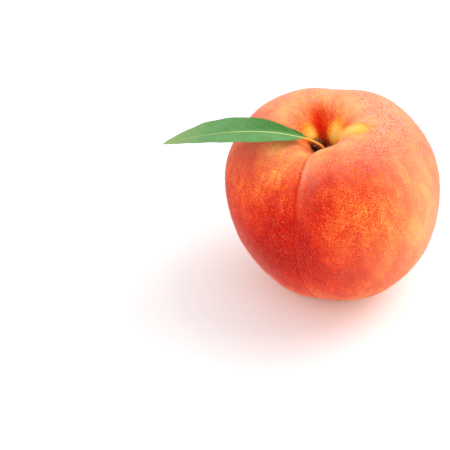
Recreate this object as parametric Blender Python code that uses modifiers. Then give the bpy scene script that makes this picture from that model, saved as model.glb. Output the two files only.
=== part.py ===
"""A ripe peach standing on its base, with the woody stub of its stem and one leaf.

The fruit stands on Z = 0 with +Z up. The origin is on the small flat spot that the fruit rests on, straight
below the fruit's centre of mass. The seam faces -Y and a little to -X, and the leaf reaches out to -X.
Shapes of the fruit are worked out in the fruit's own frame, where the stem end is up (+Z) and an azimuth is
counted from the front (-Y) towards the right (+X). The fruit is then leaned a little to the front and left.
"""

import math

import bmesh
import bpy
from mathutils import Matrix, Vector
from mathutils.geometry import interpolate_bezier

MM = 0.001
COLLECTION_NAME = "peach"
GUIDE_COLLECTION_NAME = "peach_guides"

# The fruit's overall form. A squareness below 1 makes the profile fuller than an ellipse.
FRUIT_RADIUS = 35.7 * MM
SHOULDER_HEIGHT = 34.0 * MM
BASE_DEPTH = 42.4 * MM
SHOULDER_SQUARENESS = 0.72
BASE_SQUARENESS = 0.80
CHEEK_SWELL = 0.050
LEAN_LEFT = math.radians(9.0)
LEAN_FORWARD = math.radians(7.0)
FLAT_SPOT_RADIUS = 7.0 * MM

# The hollow that the stem sits in. It reaches out further on the seam's side.
HOLLOW_DEPTH = 16.5 * MM
HOLLOW_WIDTH = 8.5 * MM
HOLLOW_FORWARD = 0.13

# The shallow basin at the other end, with a small tip in its middle.
BASIN_DEPTH = 1.4 * MM
BASIN_WIDTH = 7.0 * MM
TIP_HEIGHT = 1.5 * MM
TIP_WIDTH = 2.2 * MM

# The seam runs down one side.
SEAM_AZIMUTH = math.radians(-18.5)
SEAM_WIDTH = 5.5 * MM
SEAM_DEPTH = 0.5 * MM

# Where the seam meets the hollow it notches the lip, and the right lobe stands proud of the left.
NOTCH_POLAR = math.radians(17.0)
NOTCH_SPREAD = math.radians(14.0)
NOTCH_WIDTH = 2.8 * MM
NOTCH_DEPTH = 4.6 * MM
LOBE_OFFSET = 7.5 * MM
LOBE_WIDTH = 6.5 * MM
LOBE_SWELL = 1.3 * MM

# A shallow furrow faces the seam across the hollow and widens as it runs over the back of the shoulder.
FURROW_AZIMUTH = math.radians(170.0)
FURROW_POLAR = math.radians(42.0)
FURROW_SPREAD = math.radians(26.0)
FURROW_WIDTH = 3.5 * MM
FURROW_FLARE = 0.25
FURROW_DEPTH = 2.1 * MM

# Dents are pushed straight in towards the fruit's middle, and no further than this allows near it.
LEAST_DENT_DISTANCE = 10.0 * MM

# The fruit's mesh: meridians round it and rings from the hollow to the tip.
MERIDIANS = 64
RINGS = 44

# The stem's stub, a stout peg with a flared, broken-off top. Its foot is placed in the fruit's own frame,
# beside the hollow's axis and just clear of the hollow's floor.
STUB_FOOT_RADIUS = 1.3 * MM
STUB_TOP_RADIUS = 1.8 * MM
STUB_HEIGHT = 3.6 * MM
STUB_LEAN_LEFT = math.radians(20.0)
STUB_FOOT = (-1.1 * MM, -0.5 * MM)
STUB_CLEARANCE = 2.95 * MM
STUB_STEPS = 16
# Each point of the stub's profile: the share of the foot's or the top's radius, and the share of the height.
STUB_TOP_PROFILE = ((0.35, 1.0), (0.86, 0.97), (1.0, 0.86))
STUB_SHANK_PROFILE = ((0.94, 0.62), (0.86, 0.38), (1.0, 0.12), (0.80, 0.0))
STUB_TOP_MIDDLE = 0.98

# The leaf. Its blade hangs on a midrib that arches out over the fruit's shoulder and droops to the tip.
LEAF_THICKNESS = 0.45 * MM
LEAF_HALF_WIDTH = 7.0 * MM
LEAF_FULLNESS = 0.8
LEAF_NEAR_BELLY = 0.90
LEAF_FAR_BELLY = 0.97
LEAF_NARROWEST = 0.35 * MM
LEAF_NEAR_RISE = math.radians(8.0)
LEAF_FAR_RISE = math.radians(12.0)
LEAF_TIP_RISE = math.radians(19.0)
LEAF_TIP_TURN = (0.35, 0.85)
LEAF_ROWS = 30
LEAF_COLUMNS = 8
MIDRIB_RADIUS = 0.62 * MM
MIDRIB_TIP_RADIUS = 0.28 * MM

# The leaf's line, measured from the middle of the fruit as it stands: the foot of the stalk, then the four
# points that steer the midrib's curve.
STALK_FOOT = (-2.6 * MM, -5.0 * MM, 19.3 * MM)
STALK_RISE = (-0.33, -0.09, 0.94)
BLADE_ROOT = (-9.0 * MM, -7.4 * MM, 25.8 * MM)
BLADE_ARCH_START = (-23.0 * MM, -15.9 * MM, 35.2 * MM)
BLADE_ARCH_END = (-40.0 * MM, -7.6 * MM, 26.2 * MM)
BLADE_TIP = (-58.4 * MM, -2.7 * MM, 16.5 * MM)
STALK_POINTS = 7
MIDRIB_POINTS = 26

# Vertices closer than these are welded.
SCREW_WELD = 0.00005
CAP_WELD = 0.00001

FRUIT_COLOUR = (0.86, 0.22, 0.07, 1.0)
STUB_COLOUR = (0.20, 0.11, 0.05, 1.0)
LEAF_COLOUR = (0.12, 0.30, 0.07, 1.0)


def clear_scene():
    """Removes every object that the file opens with."""
    for obj in list(bpy.data.objects):
        bpy.data.objects.remove(obj, do_unlink=True)


def make_collection(name):
    """Makes a collection, for the pieces or for the guides that shape them."""
    collection = bpy.data.collections.new(name)
    bpy.context.scene.collection.children.link(collection)
    return collection


def make_material(name, colour, roughness):
    """Makes a plain Principled material that is not metallic."""
    material = bpy.data.materials.new(name)
    material.use_nodes = True
    shader = material.node_tree.nodes["Principled BSDF"]
    shader.inputs["Base Color"].default_value = colour
    shader.inputs["Roughness"].default_value = roughness
    shader.inputs["Metallic"].default_value = 0.0
    return material


def finish_piece(obj, name, collection, material):
    """Names a piece, moves it to the collection and gives it its material."""
    obj.name = name
    obj.data.name = name
    for old in list(obj.users_collection):
        old.objects.unlink(obj)
    collection.objects.link(obj)
    obj.data.materials.clear()
    obj.data.materials.append(material)


def bump(distance, width):
    """A smooth bell: 1 in the middle, and about a third at one width."""
    return math.exp(-((distance / width) ** 2))


def wrapped(angle):
    """An angle brought into the range from -pi to pi."""
    return (angle + math.pi) % math.tau - math.pi


def outline_swell(azimuth):
    """How much further out than round the fruit is at an azimuth: a cheek swells on each side of the seam."""
    return 1.0 - CHEEK_SWELL * math.cos(2.0 * (azimuth - SEAM_AZIMUTH))


def profile_height(polar, azimuth, out):
    """The skin's height at a polar angle: the hollow is at the stem end, the basin and tip at the other."""
    if polar < math.pi / 2:
        from_stem = out * (1.0 - HOLLOW_FORWARD * math.cos(azimuth - SEAM_AZIMUTH))
        return SHOULDER_HEIGHT * math.cos(polar) - HOLLOW_DEPTH * bump(from_stem, HOLLOW_WIDTH)
    basin = BASIN_DEPTH * bump(out, BASIN_WIDTH)
    tip = TIP_HEIGHT * bump(out, TIP_WIDTH)
    return BASE_DEPTH * math.cos(polar) + basin - tip


def seam_dent(polar, azimuth, out):
    """How far the skin is dented by the seam and its notch, less the swell of the lobe beside the notch."""
    across = wrapped(azimuth - SEAM_AZIMUTH) * out
    crease = SEAM_DEPTH * math.sqrt(math.sin(polar)) * bump(across, SEAM_WIDTH)
    at_notch = bump(polar - NOTCH_POLAR, NOTCH_SPREAD)
    notch = NOTCH_DEPTH * bump(across, NOTCH_WIDTH)
    swell = LOBE_SWELL * (bump(across - LOBE_OFFSET, LOBE_WIDTH) - bump(across + LOBE_OFFSET, LOBE_WIDTH))
    return crease + at_notch * (notch - swell)


def furrow_dent(polar, azimuth, out):
    """How far the skin is dented by the furrow that faces the seam."""
    across = wrapped(azimuth - FURROW_AZIMUTH) * out
    along = bump(polar - FURROW_POLAR, FURROW_SPREAD)
    return FURROW_DEPTH * along * bump(across, FURROW_WIDTH + FURROW_FLARE * out)


def fruit_point(polar, azimuth):
    """A point of the skin, from a polar angle (0 at the stem, pi at the tip) and an azimuth."""
    squareness = SHOULDER_SQUARENESS if polar < math.pi / 2 else BASE_SQUARENESS
    out = FRUIT_RADIUS * math.sin(polar) ** squareness
    up = profile_height(polar, azimuth, out)
    reach = out * (1.0 + (outline_swell(azimuth) - 1.0) * math.sin(polar))
    point = Vector((reach * math.sin(azimuth), -reach * math.cos(azimuth), up))
    dent = seam_dent(polar, azimuth, out) + furrow_dent(polar, azimuth, out)
    return point * (1.0 - dent / max(point.length, LEAST_DENT_DISTANCE))


def lean():
    """The rotation from the fruit's own frame to the way it stands."""
    return Matrix.Rotation(-LEAN_LEFT, 3, "Y") @ Matrix.Rotation(LEAN_FORWARD, 3, "X")


def centre_of_mass(mesh):
    """The centre of the volume that a closed mesh encloses."""
    volume = 0.0
    moment = Vector((0.0, 0.0, 0.0))
    mesh.calc_loop_triangles()
    for triangle in mesh.loop_triangles:
        a, b, c = (mesh.vertices[index].co for index in triangle.vertices)
        share = a.dot(b.cross(c)) / 6.0
        volume += share
        moment += (a + b + c) * share / 4.0
    return moment / volume


def cut_flat_spot(mesh, level):
    """Cuts the mesh off flat at a level and closes it, which leaves the face that the fruit rests on."""
    sheet = bmesh.new()
    sheet.from_mesh(mesh)
    everything = sheet.verts[:] + sheet.edges[:] + sheet.faces[:]
    cut = bmesh.ops.bisect_plane(
        sheet, geom=everything, plane_co=(0.0, 0.0, level), plane_no=(0.0, 0.0, 1.0), clear_inner=True
    )
    rim = [edge for edge in cut["geom_cut"] if isinstance(edge, bmesh.types.BMEdge)]
    bmesh.ops.holes_fill(sheet, edges=rim, sides=0)
    bmesh.ops.recalc_face_normals(sheet, faces=sheet.faces)
    sheet.to_mesh(mesh)
    sheet.free()


def make_fruit(collection):
    """Shapes the fruit from a sphere, and returns the place of its own frame's centre as it stands."""
    bpy.ops.mesh.primitive_uv_sphere_add(segments=MERIDIANS, ring_count=RINGS, radius=1.0)
    fruit = bpy.context.object
    for vertex in fruit.data.vertices:
        x, y, z = vertex.co
        polar = math.acos(max(-1.0, min(1.0, z)))
        vertex.co = lean() @ fruit_point(polar, math.atan2(x, -y))
    middle = centre_of_mass(fruit.data)
    lowest = min(vertex.co.z for vertex in fruit.data.vertices)
    level = lowest + FLAT_SPOT_RADIUS**2 / (2.0 * FRUIT_RADIUS)
    cut_flat_spot(fruit.data, level)
    stand = Vector((-middle.x, -middle.y, -level))
    fruit.data.transform(Matrix.Translation(stand))
    finish_piece(fruit, "peach_fruit", collection, make_material("skin", FRUIT_COLOUR, 0.75))
    fruit.data.shade_smooth()
    return stand


def stub_frame(stand):
    """The frame of the stub: it leans left, and its foot is over the hollow's floor beside the axis."""
    floor = fruit_point(0.0, 0.0).z
    foot = Vector((*STUB_FOOT, floor + STUB_CLEARANCE))
    tilt = Matrix.Rotation(-STUB_LEAN_LEFT, 3, "Y")
    return Matrix.Translation(lean() @ foot + stand) @ (lean() @ tilt).to_4x4()


def make_stub(collection, stand):
    """Turns the stem's stub from a profile and stands it in the hollow."""
    profile = [(0.0, STUB_HEIGHT * STUB_TOP_MIDDLE)]
    profile += [(STUB_TOP_RADIUS * out, STUB_HEIGHT * up) for out, up in STUB_TOP_PROFILE]
    profile += [(STUB_FOOT_RADIUS * out, STUB_HEIGHT * up) for out, up in STUB_SHANK_PROFILE]
    profile += [(0.0, 0.0)]
    mesh = bpy.data.meshes.new("stem_stub")
    edges = [(index, index + 1) for index in range(len(profile) - 1)]
    mesh.from_pydata([(out, 0.0, up) for out, up in profile], edges, [])
    stub = bpy.data.objects.new("stem_stub", mesh)
    turn = stub.modifiers.new("turn", "SCREW")
    turn.steps = STUB_STEPS
    turn.render_steps = STUB_STEPS
    turn.use_merge_vertices = True
    turn.merge_threshold = SCREW_WELD
    stub.matrix_world = stub_frame(stand)
    finish_piece(stub, "stem_stub", collection, make_material("bark", STUB_COLOUR, 0.9))


def blade_midrib(stand, count):
    """Points along the midrib from the blade's root to its tip."""
    knots = [Vector(knot) + stand for knot in (BLADE_ROOT, BLADE_ARCH_START, BLADE_ARCH_END, BLADE_TIP)]
    return interpolate_bezier(*knots, count)


def stalk_line(stand, count):
    """Points up the leaf's stalk, which rises from its foot and turns smoothly into the midrib."""
    foot = Vector(STALK_FOOT) + stand
    top = Vector(BLADE_ROOT) + stand
    onward = (Vector(BLADE_ARCH_START) - Vector(BLADE_ROOT)).normalized()
    third = (top - foot).length / 3.0
    return interpolate_bezier(foot, foot + Vector(STALK_RISE) * third, top - onward * third, top, count)


def blade_half_width(along, belly):
    """Half the blade's width at a share of its length. A larger belly widens it nearer the tip."""
    share = math.sin(math.pi * along**belly)
    return max(LEAF_HALF_WIDTH * max(share, 0.0) ** LEAF_FULLNESS, LEAF_NARROWEST)


def far_half_rise(along):
    """How steeply the blade's far half rises from the midrib: more and more towards the tip."""
    low, high = LEAF_TIP_TURN
    turned = min(max((along - low) / (high - low), 0.0), 1.0)
    return LEAF_FAR_RISE + LEAF_TIP_RISE * turned**2 * (3.0 - 2.0 * turned)


def make_blade(stand):
    """Shapes the blade from a grid: rows follow the midrib, and each half rises from it in a shallow V."""
    bpy.ops.mesh.primitive_grid_add(x_subdivisions=LEAF_ROWS, y_subdivisions=LEAF_COLUMNS, size=2.0)
    blade = bpy.context.object
    midrib = blade_midrib(stand, LEAF_ROWS + 1)
    for vertex in blade.data.vertices:
        row = round((vertex.co.x + 1.0) / 2.0 * LEAF_ROWS)
        ahead = midrib[min(row + 1, LEAF_ROWS)] - midrib[max(row - 1, 0)]
        far_side = ahead.cross(Vector((0.0, 0.0, 1.0))).normalized()
        upward = far_side.cross(ahead).normalized()
        along = row / LEAF_ROWS
        belly, rise = LEAF_NEAR_BELLY, LEAF_NEAR_RISE
        if vertex.co.y > 0.0:
            belly, rise = LEAF_FAR_BELLY, far_half_rise(along)
        across = vertex.co.y * blade_half_width(along, belly)
        level = far_side * across * math.cos(rise)
        vertex.co = midrib[row] + level + upward * abs(across) * math.sin(rise)
    blade.data.update()
    thicken = blade.modifiers.new("thicken", "SOLIDIFY")
    thicken.thickness = LEAF_THICKNESS
    thicken.offset = 0.0
    return blade


def make_leaf_stalk(stand):
    """Runs a tapering round tube up the stalk and along the midrib."""
    points = stalk_line(stand, STALK_POINTS)[:-1] + blade_midrib(stand, MIDRIB_POINTS)[:-1]
    data = bpy.data.curves.new("leaf_stalk", "CURVE")
    data.dimensions = "3D"
    data.bevel_depth = 1.0
    data.bevel_resolution = 2
    data.use_fill_caps = True
    spline = data.splines.new("POLY")
    spline.points.add(len(points) - 1)
    for index, point in enumerate(points):
        taper = index / (len(points) - 1)
        spline.points[index].co = (*point, 1.0)
        spline.points[index].radius = MIDRIB_RADIUS + (MIDRIB_TIP_RADIUS - MIDRIB_RADIUS) * taper
    stalk = bpy.data.objects.new("leaf_stalk", data)
    bpy.context.scene.collection.objects.link(stalk)
    return stalk


def evaluated_copy(obj, name):
    """A mesh object that replaces an object, with its modifiers or bevel applied and its seams welded."""
    bpy.context.view_layer.update()
    graph = bpy.context.evaluated_depsgraph_get()
    mesh = bpy.data.meshes.new_from_object(obj.evaluated_get(graph))
    mesh.transform(obj.matrix_world)
    sheet = bmesh.new()
    sheet.from_mesh(mesh)
    bmesh.ops.remove_doubles(sheet, verts=sheet.verts, dist=CAP_WELD)
    bmesh.ops.recalc_face_normals(sheet, faces=sheet.faces)
    sheet.to_mesh(mesh)
    sheet.free()
    copy = bpy.data.objects.new(name, mesh)
    bpy.context.scene.collection.objects.link(copy)
    bpy.data.objects.remove(obj, do_unlink=True)
    return copy


def make_leaf(collection, guides, stand):
    """Joins the blade with the stalk and midrib into one leaf. The stalk's own shape is kept as a guide."""
    leaf = evaluated_copy(make_blade(stand), "leaf")
    stalk = evaluated_copy(make_leaf_stalk(stand), "leaf_stalk_shape")
    bpy.context.scene.collection.objects.unlink(stalk)
    guides.objects.link(stalk)
    stalk.hide_render = True
    stalk.display_type = "WIRE"
    join = leaf.modifiers.new("join_stalk", "BOOLEAN")
    join.operation = "UNION"
    join.object = stalk
    finish_piece(leaf, "leaf", collection, make_material("leaf", LEAF_COLOUR, 0.5))


def main():
    """Builds the peach."""
    clear_scene()
    collection = make_collection(COLLECTION_NAME)
    guides = make_collection(GUIDE_COLLECTION_NAME)
    stand = make_fruit(collection)
    make_stub(collection, stand)
    make_leaf(collection, guides, stand)


main()
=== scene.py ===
"""The looks of a ripe peach: downy blushed skin, a woody stem stub and one long serrated leaf.

Lengths are in metres. The fruit's own frame has its stem end up (+Z), and an azimuth in it is counted from
the front (-Y) towards the right (+X). The fruit leans a little from that frame to the way it stands.
"""

import logging
import math
from dataclasses import dataclass
from enum import Enum
from functools import partial, reduce

import bpy
import numpy as np
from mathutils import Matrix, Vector


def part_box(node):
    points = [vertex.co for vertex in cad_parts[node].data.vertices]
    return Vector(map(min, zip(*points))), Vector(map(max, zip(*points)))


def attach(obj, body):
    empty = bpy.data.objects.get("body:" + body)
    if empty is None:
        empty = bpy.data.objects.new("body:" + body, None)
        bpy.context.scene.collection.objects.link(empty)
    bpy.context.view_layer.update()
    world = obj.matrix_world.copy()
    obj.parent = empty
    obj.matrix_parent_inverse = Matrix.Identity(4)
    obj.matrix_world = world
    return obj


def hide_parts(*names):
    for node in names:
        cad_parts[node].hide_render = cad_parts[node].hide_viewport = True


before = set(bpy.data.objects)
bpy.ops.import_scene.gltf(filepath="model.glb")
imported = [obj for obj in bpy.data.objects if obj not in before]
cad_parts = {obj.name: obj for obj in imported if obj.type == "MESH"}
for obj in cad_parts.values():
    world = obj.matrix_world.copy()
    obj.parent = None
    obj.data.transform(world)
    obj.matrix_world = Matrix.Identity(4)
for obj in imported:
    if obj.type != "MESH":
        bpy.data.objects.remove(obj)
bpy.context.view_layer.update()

MM = 0.001
TAU = 2.0 * math.pi

log = logging.getLogger("peach")


# ---------------------------------------------------------------------------------------------------------
# Numbers and meshes
# ---------------------------------------------------------------------------------------------------------


def paint(red: int, green: int, blue: int) -> tuple[float, float, float, float]:
    """A colour in the shader's linear scale.

    Args:
        red, green, blue: The colour as a screen shows it, each from 0 to 255.

    Returns:
        The linear red, green and blue, with an alpha of 1.
    """
    shown = np.array([red, green, blue]) / 255.0
    linear = np.where(shown <= 0.04045, shown / 12.92, ((shown + 0.055) / 1.055) ** 2.4)
    return (*(float(part) for part in linear), 1.0)


def bell(distance: np.ndarray, width: float | np.ndarray) -> np.ndarray:
    """A smooth bell: e to the power of minus the squared share of distance over width."""
    return np.exp(-((distance / width) ** 2))


def wrapped(angle: np.ndarray) -> np.ndarray:
    """An angle brought into the range from -pi to pi."""
    return (angle + math.pi) % TAU - math.pi


def eased(value: np.ndarray, low: float, high: float) -> np.ndarray:
    """A smooth step: 0 below low, 1 above high, and 3t squared less 2t cubed between them."""
    share = np.clip((value - low) / (high - low), 0.0, 1.0)
    return share * share * (3.0 - 2.0 * share)


@dataclass(frozen=True)
class Span:
    """A range of distances, in mm, over which something comes in."""

    low: float
    high: float

    def of(self, distance: np.ndarray) -> np.ndarray:
        """How much has come in at each distance: 0 below the range, 1 above it, and eased inside it."""
        return eased(distance, self.low * MM, self.high * MM)


@dataclass(frozen=True)
class Band:
    """A soft-edged band, as its middle and half width in mm, and how strong it is there."""

    middle: float
    width: float
    strength: float = 1.0

    def of(self, distance: np.ndarray) -> np.ndarray:
        """The band's strength at each distance, as a bell about its middle."""
        return self.strength * bell(distance - self.middle * MM, self.width * MM)


@dataclass(frozen=True)
class Ripple:
    """A sine wave, as its height, how fast its angle grows along the place, and the angle it starts at."""

    height: float
    rate: float
    start: float = 0.0

    def of(self, place: np.ndarray, shift: float | np.ndarray = 0.0) -> np.ndarray:
        """The wave at each place: the height times the sine of rate times place plus start plus shift."""
        return self.height * np.sin(self.rate * place + self.start + shift)


def unit(vectors: np.ndarray) -> np.ndarray:
    """Vectors scaled to a length of 1, along the last axis."""
    return vectors / np.maximum(np.linalg.norm(vectors, axis=-1, keepdims=True), 1e-12)


def rotation(angle: float, axis: int) -> np.ndarray:
    """The matrix that turns points about an axis.

    Args:
        angle: How far they turn.
        axis: 0 for X, 1 for Y or 2 for Z.

    Returns:
        A unit matrix with the angle's cosines and sines in the rows and columns of the other two axes.
    """
    first, second = (axis + 1) % 3, (axis + 2) % 3
    matrix = np.eye(3)
    matrix[first, first] = matrix[second, second] = math.cos(angle)
    matrix[first, second], matrix[second, first] = -math.sin(angle), math.sin(angle)
    return matrix


def waves(points: np.ndarray, size: float, count: int, seed: int) -> np.ndarray:
    """A smooth random field, as the sum of plane sine waves with seeded directions, lengths and phases.

    Args:
        points: The places to read it at, with x, y and z along the last axis.
        size: The waves' mean length.
        count: How many waves are added.
        seed: The seed of the directions, lengths and phases.

    Returns:
        The field's value at each point, mostly between -1 and 1.
    """
    chance = np.random.default_rng(seed)
    directions = unit(chance.normal(size=(count, 3)))
    numbers = TAU / (size * chance.uniform(0.7, 1.5, count))
    phases = chance.uniform(0.0, TAU, count)
    total = np.zeros(points.shape[:-1])
    for direction, number, phase in zip(directions, numbers, phases):
        total += np.sin(points @ direction * number + phase)
    return total / math.sqrt(count)


def even_spread(weights: np.ndarray, places: np.ndarray, count: int) -> np.ndarray:
    """Picks places so that each pair of neighbours has the same weight between them.

    Args:
        weights: How much weight lies at each of the places.
        places: The places that the weights are given at, in rising order.
        count: How many places to pick.

    Returns:
        The picked places, from the first to the last.
    """
    steps = (weights[1:] + weights[:-1]) / 2.0 * np.diff(places)
    total = np.concatenate([[0.0], np.cumsum(steps)])
    return np.interp(np.linspace(0.0, total[-1], count), total, places)


def bezier(knots: np.ndarray, shares: np.ndarray) -> np.ndarray:
    """Points of a cubic curve: (1-t)^3 a + 3(1-t)^2 t b + 3(1-t) t^2 c + t^3 d.

    Args:
        knots: The curve's four control points.
        shares: The values of t.

    Returns:
        One point for each share.
    """
    t = shares[:, None]
    s = 1.0 - t
    return s**3 * knots[0] + 3.0 * s**2 * t * knots[1] + 3.0 * s * t**2 * knots[2] + t**3 * knots[3]


def round_grid_mesh(name: str, grid: np.ndarray, ends: np.ndarray | None = None) -> bpy.types.Mesh:
    """Makes a closed mesh from a grid whose columns run right round, with one pole at each end.

    Args:
        name: The mesh's name.
        grid: The points, as rows from the first pole to the last, and columns round the shape.
        ends: The two poles, or None for the middles of the first and the last row.

    Returns:
        The mesh, smooth shaded. Its vertices are the grid's rows in turn, then the two poles.
    """
    ends = grid[[0, -1]].mean(axis=1) if ends is None else ends
    rows, columns = grid.shape[:2]
    count = rows * columns
    points = np.concatenate([grid.reshape(-1, 3), ends])
    here = np.arange(count).reshape(rows, columns)
    after = np.roll(here, -1, axis=1)
    quads = np.stack([here[:-1], here[1:], after[1:], after[:-1]], axis=-1).reshape(-1, 4)
    first_fan = np.stack([np.full(columns, count), here[0], after[0]], axis=-1)
    last_fan = np.stack([np.full(columns, count + 1), after[-1], here[-1]], axis=-1)
    fans = np.concatenate([first_fan, last_fan])
    loops = np.concatenate([quads.ravel(), fans.ravel()])
    starts = np.concatenate([np.arange(len(quads)) * 4, len(quads) * 4 + np.arange(len(fans)) * 3])
    return mesh_from_loops(name, points, loops, starts)


def mesh_from_loops(name: str, points: np.ndarray, loops: np.ndarray, starts: np.ndarray) -> bpy.types.Mesh:
    """Puts whole arrays into a new mesh.

    Args:
        name: The mesh's name.
        points: The vertices.
        loops: The vertex of each face corner, face after face.
        starts: The place in loops where each face starts.

    Returns:
        The mesh, smooth shaded.
    """
    mesh = bpy.data.meshes.new(name)
    mesh.vertices.add(len(points))
    mesh.vertices.foreach_set("co", points.astype(np.float32).ravel())
    mesh.loops.add(len(loops))
    mesh.loops.foreach_set("vertex_index", loops.astype(np.int32))
    mesh.polygons.add(len(starts))
    mesh.polygons.foreach_set("loop_start", starts.astype(np.int32))
    mesh.update(calc_edges=True)
    mesh.validate()
    mesh.shade_smooth()
    return mesh


def store(mesh: bpy.types.Mesh, name: str, grid: np.ndarray, *poles: float | np.ndarray | list) -> None:
    """Keeps a number or a vector for each vertex, for the materials to read.

    Args:
        mesh: The mesh.
        name: The attribute's name.
        grid: The numbers or vectors, in rows and columns.
        *poles: The first and the last pole's, where the mesh has poles.
    """
    values = grid.reshape(-1, *grid.shape[2:])
    if poles:
        values = np.concatenate([values, np.array(poles)])
    kind, member = ("FLOAT_VECTOR", "vector") if values.ndim == 2 else ("FLOAT", "value")
    attribute = mesh.attributes.new(name, kind, "POINT")
    attribute.data.foreach_set(member, values.astype(np.float32).ravel())


def grid_normals(grid: np.ndarray) -> np.ndarray:
    """The outward direction at each point of a grid whose columns run right round.

    Args:
        grid: The points, in rows and columns.

    Returns:
        Unit vectors: the cross product of the step along a column and the step along a row.
    """
    down = np.gradient(grid, axis=0)
    along = np.roll(grid, -1, axis=1) - np.roll(grid, 1, axis=1)
    return unit(np.cross(down, along))


class Slot(Enum):
    """The record's material slots."""

    SKIN = "skin"
    BARK = "bark"
    LEAF = "leaf"


def show(mesh: bpy.types.Mesh, material: bpy.types.Material, slot: Slot, *nodes: str) -> bpy.types.Object:
    """Puts a finished mesh into the scene as a piece that rides with the fruit.

    Args:
        mesh: The mesh, in place.
        material: Its finish.
        slot: The material slot for its finish; not used.
        *nodes: The CAD nodes that it stands for.

    Returns:
        The piece.
    """
    piece = bpy.data.objects.new(mesh.name, mesh)
    bpy.context.scene.collection.objects.link(piece)
    mesh.materials.append(material)
    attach(piece, "root")
    if nodes:
        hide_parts(*nodes)
    log.info("%s: %d faces", piece.name, len(mesh.polygons))
    return piece


# ---------------------------------------------------------------------------------------------------------
# Shader nodes
# ---------------------------------------------------------------------------------------------------------

Socket = bpy.types.NodeSocket
Sockets = bpy.types.bpy_prop_collection
Fed = Socket | float | tuple


class Sum(Enum):
    """What a sum makes of its two values."""

    ADD = "ADD"
    SUBTRACT = "SUBTRACT"
    MULTIPLY = "MULTIPLY"
    DIVIDE = "DIVIDE"


class Cells(Enum):
    """What a pattern of scattered cells measures."""

    TO_MIDDLE = "F1"
    TO_EDGE = "DISTANCE_TO_EDGE"


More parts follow.
